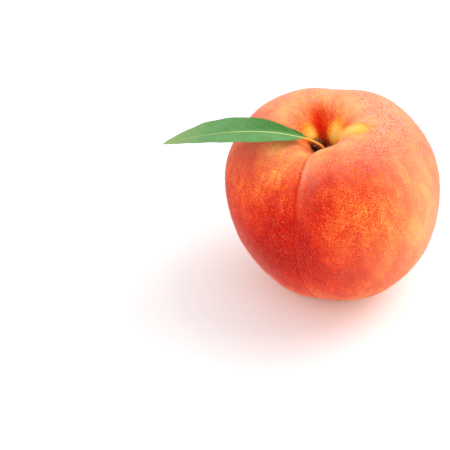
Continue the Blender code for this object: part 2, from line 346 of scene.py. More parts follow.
class Bench:
    """Lays out and joins the nodes of one material or node group."""

    def __init__(self, tree: bpy.types.NodeTree) -> None:
        """Keeps the tree that the nodes go in."""
        self.tree = tree

    def add(self, kind: str, **settings: str | bool | float) -> bpy.types.Node:
        """Adds a node.

        Args:
            kind: Blender's name for the kind of node.
            **settings: The node's own properties.

        Returns:
            The node.
        """
        node = self.tree.nodes.new(kind)
        for name, value in settings.items():
            setattr(node, name, value)
        return node

    def feed(self, socket: Socket, value: Fed) -> None:
        """Joins an output to an input, or sets the input to a constant.

        Args:
            socket: The input.
            value: An output socket, a number, or a vector or colour.
        """
        if isinstance(value, bpy.types.NodeSocket):
            self.tree.links.new(value, socket)
        else:
            socket.default_value = value

    def math(self, kind: Sum, first: Fed, second: Fed, clamp: bool = False) -> Socket:
        """The result of a sum on two values.

        Args:
            kind: The sum.
            first: The first value.
            second: The second value.
            clamp: Whether the result is kept between 0 and 1.

        Returns:
            The result's socket.
        """
        node = self.add("ShaderNodeMath", operation=kind.value, use_clamp=clamp)
        self.feed(node.inputs[0], first)
        self.feed(node.inputs[1], second)
        return node.outputs[0]

    def vector(self, kind: Sum, first: Fed, second: Fed) -> Socket:
        """The result of a sum on each part of two vectors.

        Args:
            kind: The sum.
            first: The first vector.
            second: The second vector, or one number for all its parts.

        Returns:
            The result's socket.
        """
        node = self.add("ShaderNodeVectorMath", operation=kind.value)
        self.feed(node.inputs[0], first)
        self.feed(node.inputs[1], second)
        return node.outputs[0]

    def total(self, *terms: Fed) -> Socket:
        """The sum of several values."""
        return reduce(partial(self.math, Sum.ADD), terms)

    def product(self, *factors: Fed) -> Socket:
        """The product of several values."""
        return reduce(partial(self.math, Sum.MULTIPLY), factors)

    def swing(self, value: Fed, weight: Fed) -> Socket:
        """How far a value lies above a half, times a weight."""
        return self.product(self.math(Sum.SUBTRACT, value, 0.5), weight)

    def remap(self, value: Fed, low: float, high: float, to_low: float = 0.0, to_high: float = 1.0) -> Socket:
        """Stretches a range of values onto another, and keeps the result inside it.

        Args:
            value: The value.
            low, high: The range that is read.
            to_low, to_high: The range that comes out.

        Returns:
            The result's socket.
        """
        node = self.add("ShaderNodeMapRange", interpolation_type="SMOOTHSTEP")
        for socket, given in zip(node.inputs, (value, low, high, to_low, to_high)):
            self.feed(socket, given)
        return node.outputs[0]

    def mix(self, share: Fed, below: Fed, above: Fed) -> Socket:
        """Lays one colour over another.

        Args:
            share: How much of the upper colour is laid on.
            below: The lower colour.
            above: The upper colour.

        Returns:
            The colour's socket.
        """
        node = self.add("ShaderNodeMix", data_type="RGBA")
        lower, upper = (socket for socket in node.inputs if socket.type == "RGBA")
        self.feed(node.inputs["Factor"], share)
        self.feed(lower, below)
        self.feed(upper, above)
        return next(socket for socket in node.outputs if socket.type == "RGBA")

    def ramp(self, value: Fed, stops: tuple[tuple[float, tuple], ...]) -> Socket:
        """A colour picked from a row of colours.

        Args:
            value: The place in the row, from 0 to 1.
            stops: Each colour and its place.

        Returns:
            The colour's socket.
        """
        node = self.add("ShaderNodeValToRGB")
        marks = node.color_ramp.elements
        marks[0].position, marks[0].color = stops[0]
        marks[1].position, marks[1].color = stops[-1]
        for place, colour in stops[1:-1]:
            marks.new(place).color = colour
        self.feed(node.inputs[0], value)
        return node.outputs["Color"]

    def clouds(self, where: Fed, scale: Fed, detail: float, roughness: Fed) -> Sockets:
        """A cloud-like noise.

        Args:
            where: The place that it is read at.
            scale: How many of its largest lumps there are to a metre.
            detail: How many finer layers it has.
            roughness: How strong the finer layers are.

        Returns:
            The node's outputs: Fac, from 0 to 1, and Color.
        """
        node = self.add("ShaderNodeTexNoise", noise_dimensions="3D")
        self.feed(node.inputs["Vector"], where)
        self.feed(node.inputs["Scale"], scale)
        self.feed(node.inputs["Detail"], detail)
        self.feed(node.inputs["Roughness"], roughness)
        return node.outputs

    def noise(self, where: Fed, size: float, detail: float = 2.0, roughness: float = 0.5) -> Socket:
        """The value of a cloud-like noise, from 0 to 1, whose largest lumps are of the given size."""
        return self.clouds(where, 1.0 / size, detail, roughness)["Fac"]

    def cells(self, where: Fed, scale: Fed, measured: Cells) -> Sockets:
        """A pattern of scattered cells.

        Args:
            where: The place that it is read at.
            scale: How many cells there are to a metre.
            measured: What its distance is measured to.

        Returns:
            The node's outputs: Distance, as a share of a cell's size, and Color, a random one for each cell.
        """
        node = self.add("ShaderNodeTexVoronoi", feature=measured.value)
        self.feed(node.inputs["Vector"], where)
        self.feed(node.inputs["Scale"], scale)
        return node.outputs

    def stretched(self, where: Fed, scale: tuple[float, float, float]) -> Socket:
        """A place with each of its axes scaled, which stretches the pattern read there.

        Args:
            where: The place.
            scale: What its x, y and z are multiplied by.

        Returns:
            The new place's socket.
        """
        node = self.add("ShaderNodeMapping")
        self.feed(node.inputs["Vector"], where)
        self.feed(node.inputs["Scale"], scale)
        return node.outputs[0]

    def kept(self, name: str, vector: bool = False) -> Socket:
        """A number or vector that the piece keeps for each vertex."""
        node = self.add("ShaderNodeAttribute", attribute_name=name)
        return node.outputs["Vector" if vector else "Fac"]

    def place(self) -> Socket:
        """The place on the piece, in its own coordinates."""
        return self.add("ShaderNodeTexCoord").outputs["Object"]

    def use(self, group: bpy.types.NodeTree, **values: Fed) -> Sockets:
        """Places a node group.

        Args:
            group: The group.
            **values: What goes into its inputs, by their names in lower case.

        Returns:
            The outputs of the group's node.
        """
        node = self.add("ShaderNodeGroup")
        node.node_tree = group
        for name, value in values.items():
            self.feed(node.inputs[name.capitalize()], value)
        return node.outputs

    def bump(self, height: Fed, depth: float, strength: float = 1.0, under: Fed | None = None) -> Socket:
        """Turns a height into a shaded relief.

        Args:
            height: The height, from 0 to 1.
            depth: How far 0 lies below 1.
            strength: How much of the relief shows.
            under: A relief that this one lies on.

        Returns:
            The normal's socket.
        """
        node = self.add("ShaderNodeBump")
        self.feed(node.inputs["Strength"], strength)
        self.feed(node.inputs["Distance"], depth)
        self.feed(node.inputs["Height"], height)
        if under is not None:
            self.feed(node.inputs["Normal"], under)
        return node.outputs[0]


def new_material(name: str) -> tuple[bpy.types.Material, Bench, bpy.types.Node]:
    """Starts a material.

    Args:
        name: The material's name.

    Returns:
        The material, the bench for its nodes, and its Principled shader.
    """
    material = bpy.data.materials.new(name)
    material.use_nodes = True
    return material, Bench(material.node_tree), material.node_tree.nodes["Principled BSDF"]


def new_group(
    name: str, dials: dict[str, float], outputs: tuple[str, ...]
) -> tuple[bpy.types.NodeTree, Bench, Sockets, Sockets]:
    """Starts a node group whose pattern is read at the vector Where.

    Args:
        name: The group's name.
        dials: The names of its other inputs, which are numbers, and their plain values.
        outputs: The names of its outputs, which are all plain values.

    Returns:
        The group, the bench for its nodes, what comes into it and what it puts out.
    """
    tree = bpy.data.node_groups.new(name, "ShaderNodeTree")
    tree.interface.new_socket(name="Where", in_out="INPUT", socket_type="NodeSocketVector")
    for title, plain in dials.items():
        socket = tree.interface.new_socket(name=title, in_out="INPUT", socket_type="NodeSocketFloat")
        socket.default_value = plain
    for title in outputs:
        tree.interface.new_socket(name=title, in_out="OUTPUT", socket_type="NodeSocketFloat")
    bench = Bench(tree)
    return tree, bench, bench.add("NodeGroupInput").outputs, bench.add("NodeGroupOutput").inputs


def make_speckle_group() -> bpy.types.NodeTree:
    """Fine speckle: ragged spots, darker or paler at random, over a fine noise, and scattered flecks.

    The spots are cells of the given size, read at a place that the noise pushes about, so that they fray.

    Returns:
        The group, with the inputs Where, Size and Contrast, and two outputs from 0 to 1: Value, which is 0.5
        plus the spots and a little noise, and Dots, which is 1 in the small ragged flecks and 0 between them.
    """
    tree, bench, given, result = new_group("speckle", {"Size": MM, "Contrast": 1.0}, ("Value", "Dots"))
    scale = bench.math(Sum.DIVIDE, 1.0, given["Size"])
    noise = bench.clouds(given["Where"], bench.product(scale, 0.9), detail=3.0, roughness=0.75)
    push = bench.vector(Sum.SUBTRACT, noise["Color"], (0.5, 0.5, 0.5))
    push = bench.vector(Sum.MULTIPLY, push, bench.product(given["Size"], 2.2))
    cells = bench.cells(bench.vector(Sum.ADD, given["Where"], push), scale, Cells.TO_MIDDLE)
    chance = bench.add("ShaderNodeSeparateColor")
    bench.feed(chance.inputs[0], cells["Color"])
    near = bench.remap(cells["Distance"], 0.05, 0.62, 1.0, 0.0)
    spot = bench.swing(chance.outputs["Red"], bench.product(near, 0.45))
    spread = bench.product(bench.total(spot, bench.swing(noise["Fac"], 1.5)), given["Contrast"])
    bench.feed(result["Value"], bench.math(Sum.ADD, spread, 0.5, clamp=True))
    ragged = bench.product(near, bench.remap(noise["Fac"], 0.43, 0.62, 0.06, 1.0))
    picked = bench.remap(chance.outputs["Green"], 0.25, 1.0)
    bench.feed(result["Dots"], bench.product(ragged, picked))
    return tree


def make_mottle_group() -> bpy.types.NodeTree:
    """Uneven patches: a broad cloudy noise with fine ragged layers, stretched in contrast.

    Returns:
        The group, with the inputs Where, Size and Fray, and the output Value, from 0 to 1.
    """
    tree, bench, given, result = new_group("mottle", {"Size": MM, "Fray": 0.6}, ("Value",))
    scale = bench.math(Sum.DIVIDE, 1.0, given["Size"])
    noise = bench.clouds(given["Where"], scale, detail=5.0, roughness=given["Fray"])
    bench.feed(result["Value"], bench.remap(noise["Fac"], 0.30, 0.70))
    return tree


@dataclass(frozen=True)
class Effects:
    """The node groups that more than one finish uses."""

    speckle: bpy.types.NodeTree
    mottle: bpy.types.NodeTree


# ---------------------------------------------------------------------------------------------------------
# The fruit's form
# ---------------------------------------------------------------------------------------------------------


@dataclass(frozen=True)
class PeachForm:
    """The fruit's overall form, with the same sizes as its CAD solid, and the way it leans and stands."""

    radius: float = 35.7 * MM
    shoulder_height: float = 34.0 * MM
    base_depth: float = 42.4 * MM
    shoulder_squareness: float = 0.72
    base_squareness: float = 0.80
    cheek_swell: float = 0.050
    lean_left: float = math.radians(9.0)
    lean_forward: float = math.radians(7.0)
    hollow_depth: float = 16.5 * MM
    hollow_width: float = 8.5 * MM
    hollow_forward: float = 0.13
    basin_depth: float = 1.4 * MM
    basin_width: float = 7.0 * MM
    tip_height: float = 1.5 * MM
    tip_width: float = 2.2 * MM
    seam_azimuth: float = math.radians(-18.5)
    seam_width: float = 5.5 * MM
    seam_depth: float = 0.5 * MM
    notch_polar: float = math.radians(17.0)
    notch_spread: float = math.radians(14.0)
    notch_width: float = 2.8 * MM
    notch_depth: float = 4.6 * MM
    lobe_offset: float = 7.5 * MM
    lobe_width: float = 6.5 * MM
    lobe_swell: float = 1.3 * MM
    furrow_azimuth: float = math.radians(170.0)
    furrow_polar: float = math.radians(42.0)
    furrow_spread: float = math.radians(26.0)
    furrow_width: float = 3.5 * MM
    furrow_flare: float = 0.25
    furrow_depth: float = 2.1 * MM
    least_dent_distance: float = 10.0 * MM

    def out(self, polar: np.ndarray) -> np.ndarray:
        """The distance from the stem's axis: the radius times the polar angle's sine to a power below 1."""
        squareness = np.where(polar < math.pi / 2, self.shoulder_squareness, self.base_squareness)
        return self.radius * np.clip(np.sin(polar), 0.0, 1.0) ** squareness

    def height(self, polar: np.ndarray, azimuth: np.ndarray, out: np.ndarray) -> np.ndarray:
        """The skin's height: an ellipse's, less the hollow's bell above, or with the basin and tip's below.

        Args:
            polar: The polar angle, 0 at the stem and pi at the tip.
            azimuth: The azimuth.
            out: The distance from the stem's axis.

        Returns:
            The height over the fruit's centre.
        """
        from_stem = out * (1.0 - self.hollow_forward * np.cos(azimuth - self.seam_azimuth))
        above = self.shoulder_height * np.cos(polar) - self.hollow_depth * bell(from_stem, self.hollow_width)
        basin = self.basin_depth * bell(out, self.basin_width) - self.tip_height * bell(out, self.tip_width)
        return np.where(polar < math.pi / 2, above, self.base_depth * np.cos(polar) + basin)

    def dent(self, polar: np.ndarray, azimuth: np.ndarray, out: np.ndarray) -> np.ndarray:
        """How far the skin is dented: bells across the seam, its notch and the furrow, less the lobe's swell.

        Args:
            polar: The polar angle.
            azimuth: The azimuth.
            out: The distance from the stem's axis.

        Returns:
            The dent's depth.
        """
        across = wrapped(azimuth - self.seam_azimuth) * out
        crease = self.seam_depth * np.sqrt(np.clip(np.sin(polar), 0.0, 1.0)) * bell(across, self.seam_width)
        at_notch = bell(polar - self.notch_polar, self.notch_spread)
        notch = self.notch_depth * bell(across, self.notch_width)
        fuller = bell(across - self.lobe_offset, self.lobe_width)
        flatter = bell(across + self.lobe_offset, self.lobe_width)
        from_furrow = wrapped(azimuth - self.furrow_azimuth) * out
        along_furrow = bell(polar - self.furrow_polar, self.furrow_spread)
        flared = self.furrow_width + self.furrow_flare * out
        furrow = self.furrow_depth * along_furrow * bell(from_furrow, flared)
        return crease + at_notch * (notch - self.lobe_swell * (fuller - flatter)) + furrow

    def skin(self, polar: np.ndarray, azimuth: np.ndarray) -> np.ndarray:
        """Points of the skin in the fruit's own frame.

        Args:
            polar: The polar angles.
            azimuth: The azimuths, which broadcast with the polar angles.

        Returns:
            The points, each pushed towards the centre by its dent.
        """
        out = self.out(polar) + 0.0 * azimuth
        swell = 1.0 - self.cheek_swell * np.cos(2.0 * (azimuth - self.seam_azimuth))
        reach = out * (1.0 + (swell - 1.0) * np.sin(polar))
        up = self.height(polar, azimuth, out)
        points = np.stack([reach * np.sin(azimuth), -reach * np.cos(azimuth), up], axis=-1)
        length = np.linalg.norm(points, axis=-1)
        dent = self.dent(polar, azimuth, out)
        return points * (1.0 - dent / np.maximum(length, self.least_dent_distance))[..., None]

    def turn(self) -> np.ndarray:
        """The rotation from the fruit's own frame to how it stands: forward about X, then left about Y."""
        return rotation(-self.lean_left, 1) @ rotation(self.lean_forward, 0)

    def centre(self) -> np.ndarray:
        """Where the fruit's own centre stands, from the CAD solid's box and the form's own.

        Returns:
            The centre that puts the form's sides and top on the box's.
        """
        polar = np.linspace(0.0, math.pi, 181)[:, None]
        azimuth = np.linspace(-math.pi, math.pi, 256, endpoint=False)[None, :]
        points = self.skin(polar, azimuth).reshape(-1, 3) @ self.turn().T
        low, high = (np.array(corner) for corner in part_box("peach_fruit"))
        middle = (low + high) / 2.0 - (points.min(0) + points.max(0)) / 2.0
        return np.array([middle[0], middle[1], high[2] - points[:, 2].max()])

    def stand(self, points: np.ndarray) -> np.ndarray:
        """Points of the fruit's own frame, turned and moved to where it stands."""
        return points @ self.turn().T + self.centre()


def sideways(azimuth: np.ndarray, degrees: float, out: np.ndarray, least: float = 0.0) -> np.ndarray:
    """The distance round the stem's axis from a line of one azimuth.

    Args:
        azimuth: The points' azimuths.
        degrees: The line's azimuth, in degrees.
        out: The points' distances from the axis.
        least: The least distance from it, in mm, that a turn is measured at, which keeps a mark wide there.

    Returns:
        The distance, as the turn from the line times the distance from the axis.
    """
    return wrapped(azimuth - math.radians(degrees)) * np.maximum(out, least * MM)


@dataclass(frozen=True)
class Patch:
    """A soft-edged patch of colour: its place in degrees, its half sizes in mm, and its strength."""

    azimuth: float
    polar: float
    across: float
    along: float
    strength: float

    def cover(self, azimuth: np.ndarray, polar: np.ndarray, out: np.ndarray, radius: float) -> np.ndarray:
        """How much of the patch there is at each point: a bell across it times a bell along it.

        Args:
            azimuth: The points' azimuths.
            polar: The points' angles from the stem, as seen from the fruit's centre.
            out: The points' distances from the stem's axis.
            radius: The fruit's radius.

        Returns:
            The patch's strength at each point.
        """
        beside = bell(sideways(azimuth, self.azimuth, out, least=4.0), self.across * MM)
        beyond = bell((polar - math.radians(self.polar)) * radius, self.along * MM)
        return self.strength * beside * beyond


@dataclass(frozen=True)
class Pad:
    """A small swelling low on the hollow's far wall: its azimuth in degrees, and its place and half sizes."""

    azimuth: float
    along: Band
    across: Band

    def cover(self, azimuth: np.ndarray, out: np.ndarray) -> np.ndarray:
        """The pad's strength at each point, from 0 to 1: its bell across times its bell along."""
        return self.across.of(sideways(azimuth, self.azimuth, out, least=2.0)) * self.along.of(out)


@dataclass(frozen=True)
class Ridge:
    """The bare ridge that curves out of the hollow on the right. Its line's azimuth is in degrees."""

    azimuth: float = 70.5
    hook: float = 16.5
    hook_start: float = 6.3 * MM
    hook_reach: float = 2.4 * MM
    drift: float = 3.5
    drifting: Span = Span(13.0, 18.5)
    left_width: float = 3.2 * MM
    right_width: float = 1.7 * MM
    start: Span = Span(4.2, 6.5)
    end: Span = Span(8.5, 21.0)
    height: float = 0.35 * MM

    def cover(self, azimuth: np.ndarray, out: np.ndarray) -> np.ndarray:
        """How much of the ridge there is at each point.

        Its line leaves the hollow further round, by the hook, which fades as e to the power of minus the
        distance, and drifts the same way again near the end.

        Args:
            azimuth: The azimuths.
            out: The distances from the stem's axis.

        Returns:
            The ridge's strength at each point, from 0 to 1: a bell across its line and an eased length.
        """
        hooked = self.hook * np.exp(-np.maximum(out - self.hook_start, 0.0) / self.hook_reach)
        line = self.azimuth + hooked + self.drift * self.drifting.of(out)
        across = wrapped(azimuth - np.radians(line)) * out
        length = self.start.of(out) * (1.0 - self.end.of(out))
        return bell(across, np.where(across > 0.0, self.right_width, self.left_width)) * length


@dataclass(frozen=True)
class Cleft:
    """The cleft in the hollow's far wall, between the pads, which opens out as it climbs."""

    azimuth: float = -169.0
    foot_width: float = 1.2 * MM
    flare: float = 0.48
    depth: float = 1.0 * MM
    deepest: Band = Band(6.0, 4.5)
    start: Span = Span(1.0, 3.0)
    end: Span = Span(3.5, 13.5)
    spread: float = 1.15

    def width(self, out: np.ndarray) -> np.ndarray:
        """The cleft's half width: the flare times the distance out, less the foot's width, and never less."""
        return np.maximum(self.foot_width, self.flare * out - self.foot_width)

    def sunk(self, azimuth: np.ndarray, out: np.ndarray) -> np.ndarray:
        """How deep the cleft is at each point: its depth times a bell across it and one along it."""
        return self.depth * bell(sideways(azimuth, self.azimuth, out), self.width(out)) * self.deepest.of(out)

    def cover(self, azimuth: np.ndarray, out: np.ndarray) -> np.ndarray:
        """How red the cleft is at each point: a slightly wider bell across it, and an eased length."""
        across = bell(sideways(azimuth, self.azimuth, out, least=1.5), self.width(out) * self.spread)
        return across * self.start.of(out) * (1.0 - self.end.of(out))


@dataclass(frozen=True)
class Seam:
    """The seam: its line, which strays a little from one azimuth, its crease, its step and its red.

    The line's ripples, hook and bow are in degrees. The step lifts the right lobe over the left one near the
    hollow's lip, and the marks are where the torn red shows most.
    """

    ripples: tuple[Ripple, ...] = (Ripple(0.7, 5.2, 2.1), Ripple(0.3, 31.0), Ripple(0.2, 73.0, 1.0))
    hook: float = 6.0
    hook_reach: float = 7.0 * MM
    bow: Band = Band(24.0, 5.0, 2.1)
    lip: Band = Band(10.5, 7.5)
    start: Span = Span(4.0, 9.0)
    crease: Band = Band(-0.15, 0.48, 0.90 * MM)
    least_crease: float = 0.34
    uneven: Ripple = Ripple(0.20, 61.0)
    uneven_drift: Ripple = Ripple(1.7, 23.0)
    step: float = 0.60 * MM
    step_width: float = 0.38 * MM
    step_reach: Band = Band(0.0, 3.4)
    red: Band = Band(-0.15, 0.50)
    red_start: Span = Span(6.0, 9.0)
    plain_red: float = 0.50
    marks: tuple[Band, ...] = (Band(15.0, 6.0, 0.05), Band(24.0, 3.5, 0.55), Band(31.0, 2.5, 0.30))

    def distance(self, turn: np.ndarray, polar: np.ndarray, out: np.ndarray) -> np.ndarray:
        """The distance to the right of the seam's line.

        Args:
            turn: The azimuths, counted from the seam's own.
            polar: The polar angles.
            out: The distances from the stem's axis.

        Returns:
            The distance, negative to the left of the seam.
        """
        stray = sum(ripple.of(polar) for ripple in self.ripples)
        stray = stray - self.hook * np.exp(-out / self.hook_reach) + self.bow.of(out)
        return wrapped(turn - np.radians(stray)) * out

    def raised(self, across: np.ndarray, polar: np.ndarray, out: np.ndarray) -> np.ndarray:
        """How far the skin stands out by the seam.

        Args:
            across: The distance to the right of the seam's line.
            polar: The polar angles.
            out: The distances from the stem's axis.

        Returns:
            The step, as a hyperbolic tangent across the line, less the crease, as an uneven bell.
        """
        near_lip = self.lip.of(out) * (polar < math.pi / 2)
        uneven = 1.0 - self.uneven.height + self.uneven.of(polar, self.uneven_drift.of(polar))
        fading = self.least_crease + (1.0 - self.least_crease) * near_lip
        crease = fading * self.start.of(out) * uneven * self.crease.of(across)
        edge = np.tanh(across / self.step_width) * self.step_reach.of(across)
        return self.step * near_lip * self.start.of(out) * edge - crease

    def cover(self, across: np.ndarray, polar: np.ndarray, out: np.ndarray) -> np.ndarray:
        """How red the seam is: a bell across it, stronger in its marks.

        Args:
            across: The distance to the right of the seam's line.
            polar: The polar angles.
            out: The distances from the stem's axis.

        Returns:
            The strength at each point, from 0 to 1.
        """
        strength = self.plain_red + sum(mark.of(out) for mark in self.marks) * (polar < math.pi / 2)
        return self.red.of(across) * strength * self.red_start.of(out)


@dataclass(frozen=True)
class Tongue:
    """A place where the hollow's russet floor reaches further out, or less far if its reach is below 0."""

    azimuth: float
    width: float
    reach: float

    def cover(self, azimuth: np.ndarray, out: np.ndarray) -> np.ndarray:
        """How much further the floor reaches at each azimuth: the reach times a bell."""
        return self.reach * MM * bell(sideways(azimuth, self.azimuth, out, least=2.0), self.width * MM)


@dataclass(frozen=True)
class PeachSkin:
    """The fruit's skin, finer than its CAD solid: creased seam, ribbed hollow, and where each colour lies.

    Close_rings and close_meridians are how much closer they lie, at the hollow and at the seam, and how far
    that reaches. A pair of bands in the seam's pale rim is one across the seam's line and one along it; that
    rim is partly the down and partly a painted highlight on the raised lobe's edge.
    """

    form: PeachForm
    rings: int = 224
    meridians: int = 432
    lump_size: float = 26.0 * MM
    lump_height: float = 0.22 * MM
    ripple_size: float = 7.0 * MM
    ripple_height: float = 0.035 * MM
    smooth_hollow: Span = Span(6.0, 18.0)
    seam: Seam = Seam()
    cleft: Cleft = Cleft()
    ridge: Ridge = Ridge()
    pads: tuple[Pad, ...] = (
        Pad(-119.0, Band(5.4, 2.0), Band(0.0, 2.5)),
        Pad(127.0, Band(4.9, 2.2), Band(0.0, 2.9)),
    )
    pad_height: float = 0.8 * MM
    ridge_gold: float = 1.2
    cleft_over_gold: float = 0.9
    # The russet floor: partly russet skin, partly painted shade deep in the hollow.
    floor: Span = Span(1.3, 5.9)
    # The tongue at -88 degrees carries the dark floor up the near-left wall as painted shade.
    tongues: tuple[Tongue, ...] = (Tongue(-88.0, 2.6, 1.8), Tongue(118.0, 3.0, -1.4))
    even_blush: float = 0.50
    # A paler ring round the hollow's lip: partly paler skin, partly painted light on the up-facing lip.
    lip_gold_and_light: Band = Band(12.0, 6.5, 0.13)
    # The seam's pale rim: partly the down, partly a painted highlight where the raised right lobe's edge
    # catches the light.
    rim_down_and_highlight: tuple[tuple[Band, Band], ...] = (
        (Band(1.5, 1.3, 0.56), Band(20.0, 7.0)),
        (Band(4.5, 4.0, 0.26), Band(21.0, 7.0)),
    )
    down_start: Span = Span(5.0, 13.0)
    # The down also makes the skin less ripe, which adds to its painted sheen.
    down_and_sheen_paleness: float = 0.12
    bare_hollow: Span = Span(6.0, 15.0)
    bareness: float = 0.8
    bare_foot: Span = Span(0.9, 2.4)
    streak_start: float = 6.0 * MM
    streak_spread: float = 0.85
    close_rings: tuple[float, float] = (0.9, 15.0 * MM)
    close_meridians: tuple[float, float] = (1.8, math.radians(13.0))
    ring_samples: int = 4001
    meridian_samples: int = 2001
    sampled_azimuth: float = 0.6
    # Red patches of riper skin; two of them also carry painted shade and a painted shadow.
    blush_and_shade: tuple[Patch, ...] = (
        Patch(-10.0, 66.0, 8.0, 20.0, 0.27),
        Patch(-34.0, 80.0, 13.0, 18.0, 0.32),
        # Partly painted shade: a deeper red on the lower left, where the fruit's lower side is shaded.
        Patch(-40.0, 104.0, 22.0, 14.0, 0.32),
        Patch(-75.0, 80.0, 16.0, 26.0, 0.12),
        Patch(44.0, 38.0, 10.0, 5.5, 0.18),
        Patch(2.0, 44.0, 10.0, 7.0, 0.09),
        Patch(-168.0, 17.0, 6.0, 6.0, 0.12),
        Patch(14.0, 104.0, 16.0, 9.0, 0.07),
        # Painted shadow of the leaf: a deeper red on the left shoulder under it.
        Patch(-70.0, 43.0, 10.0, 7.0, 0.26),
        Patch(-130.0, 84.0, 26.0, 22.0, 0.20),
        Patch(108.0, 32.0, 11.0, 8.0, 0.14),
        Patch(140.0, 30.0, 7.0, 6.0, 0.14),
        Patch(80.0, 38.0, 11.0, 8.0, 0.13),
        Patch(-2.0, 104.0, 12.0, 9.0, 0.12),
        Patch(48.0, 46.0, 14.0, 6.0, 0.05),
        Patch(23.0, 50.0, 7.0, 15.0, 0.11),
    )
    gold: tuple[Patch, ...] = (
        Patch(64.0, 58.0, 6.0, 18.0, 0.08),
        Patch(50.0, 82.0, 11.0, 20.0, 0.16),
        Patch(29.0, 70.0, 7.0, 12.0, 0.11),
        Patch(-45.0, 35.5, 10.0, 7.0, 0.27),
        Patch(6.0, 27.0, 10.0, 5.0, 0.16),
        Patch(132.0, 17.0, 22.0, 5.0, 0.14),
        Patch(-66.0, 56.0, 14.0, 9.0, 0.14),
        Patch(-36.0, 52.0, 9.0, 6.0, 0.08),
        Patch(18.0, 46.0, 12.0, 8.0, 0.05),
        Patch(0.0, 160.0, 60.0, 16.0, 0.25),
    )
    # Down patches: partly the down's pale skin, partly painted sheen and light on the top behind the hollow,
    # the right side and the lower right.
    down: tuple[Patch, ...] = (
        Patch(180.0, 37.0, 46.0, 16.0, 0.92),
        Patch(92.0, 76.0, 17.0, 36.0, 0.55),
        Patch(60.0, 90.0, 10.0, 30.0, 0.36),
        Patch(110.0, 36.0, 18.0, 10.0, 0.12),
        Patch(20.0, 34.0, 16.0, 5.0, 0.16),
        Patch(-110.0, 56.0, 14.0, 12.0, 0.08),
        Patch(48.0, 104.0, 24.0, 16.0, 0.34),
    )

    def angles(self) -> tuple[np.ndarray, np.ndarray]:
        """The rings' polar angles and the meridians' azimuths, closer together at the hollow and the seam.

        Rings are spread evenly along the skin's line at one azimuth, and both are closer by a bell.

        Returns:
            The polar angles as a column and the azimuths as a row.
        """
        polar = np.linspace(0.0, math.pi, self.ring_samples)
        line = self.form.skin(polar, np.array(self.sampled_azimuth))
        speed = np.linalg.norm(np.gradient(line, polar, axis=0), axis=-1)
        closer, reach = self.close_rings
        weight = speed * (1.0 + closer * bell(self.form.out(polar), reach) * (polar < math.pi / 2))
        rings = even_spread(weight, polar, self.rings + 2)[1:-1]
        turn = np.linspace(-math.pi, math.pi, self.meridian_samples)
        closer, reach = self.close_meridians
        meridians = even_spread(1.0 + closer * bell(turn, reach), turn, self.meridians + 1)[:-1]
        return rings[:, None], meridians[None, :] + self.form.seam_azimuth

    def relief(self, polar: np.ndarray, azimuth: np.ndarray, points: np.ndarray) -> np.ndarray:
        """How far the fine skin stands out from the plain form.

        To the seam's relief come the hollow's far wall, whose pads and ridge swell and whose cleft is sunk,
        and lumps and ripples, which are smooth random fields and fade out in the hollow.

        Args:
            polar: The polar angles.
            azimuth: The azimuths.
            points: The plain form's points.

        Returns:
            The relief at each point.
        """
        out = self.form.out(polar) + 0.0 * azimuth
        across = self.seam.distance(azimuth - self.form.seam_azimuth, polar, out)
        pads = self.pad_height * sum(pad.cover(azimuth, out) for pad in self.pads)
        swollen = pads + self.ridge.height * self.ridge.cover(azimuth, out)
        wall = (polar < math.pi / 2) * (swollen - self.cleft.sunk(azimuth, out))
        lumps = self.lump_height * waves(points, self.lump_size, count=9, seed=11)
        ripples = self.ripple_height * waves(points, self.ripple_size, count=14, seed=12)
        return self.seam.raised(across, polar, out) + wall + (lumps + ripples) * self.smooth_hollow.of(out)

    def build(self, material: bpy.types.Material) -> tuple[np.ndarray, np.ndarray, np.ndarray]:
        """Builds the skin and keeps on it where its colours lie.

        Args:
            material: The skin's finish.

        Returns:
            The skin's grid of points, the outward directions there, and how thickly down grows there.
        """
        form = self.form
        polar, azimuth = self.angles()
        plain = form.skin(polar, azimuth)
        fine = plain + grid_normals(plain) * self.relief(polar, azimuth, plain)[..., None]
        standing = form.stand(fine)
        ends = form.stand(form.skin(np.array([0.0, math.pi]), np.zeros(2)))
        for points in (standing, ends):
            points[..., 2] = np.maximum(points[..., 2], 0.0)
        mesh = round_grid_mesh("peach_skin", standing, ends)
        self.keep_colours(mesh, polar, azimuth, plain)
        show(mesh, material, Slot.SKIN, "peach_fruit")
        hollow = (1.0 - self.bare_hollow.of(form.out(polar))) * (polar < math.pi / 2)
        growth = (1.0 - self.bareness * hollow) * self.bare_foot.of(standing[..., 2])
        return standing, grid_normals(standing), growth

    def keep_colours(
        self, mesh: bpy.types.Mesh, polar: np.ndarray, azimuth: np.ndarray, plain: np.ndarray
    ) -> None:
        """Keeps, for each vertex, how ripe it is and which of the skin's markings it lies in.

        Ripeness is an even blush plus the red patches, less the gold ones, the lip's paler ring and a share
        of the down. One red patch on the lower left is partly painted shade and one on the left shoulder is a
        painted shadow of the leaf; the lip's ring is partly painted light on the up-facing lip, and the down
        and its rim by the seam are partly painted sheen and highlight. The cleft hides the gold of the pads
        and the ridge, and both hide the down. The russet floor, which is partly painted shade deep in the
        hollow, ends at a distance from the axis that its tongues change. The way is where the streaks are
        read: a circle round the axis that widens with the distance out, and the polar angle as a length
        beside it.

        Args:
            mesh: The skin's mesh.
            polar: The rings' polar angles.
            azimuth: The meridians' azimuths.
            plain: The plain form's points.
        """
        form = self.form
        out = form.out(polar) + 0.0 * azimuth
        upper = polar < math.pi / 2
        seen = np.arctan2(np.hypot(plain[..., 0], plain[..., 1]), plain[..., 2])
        red, pale, down = (
            sum(patch.cover(azimuth, seen, out, form.radius) for patch in patches)
            for patches in (self.blush_and_shade, self.gold, self.down)
        )
        across = self.seam.distance(azimuth - form.seam_azimuth, polar, out)
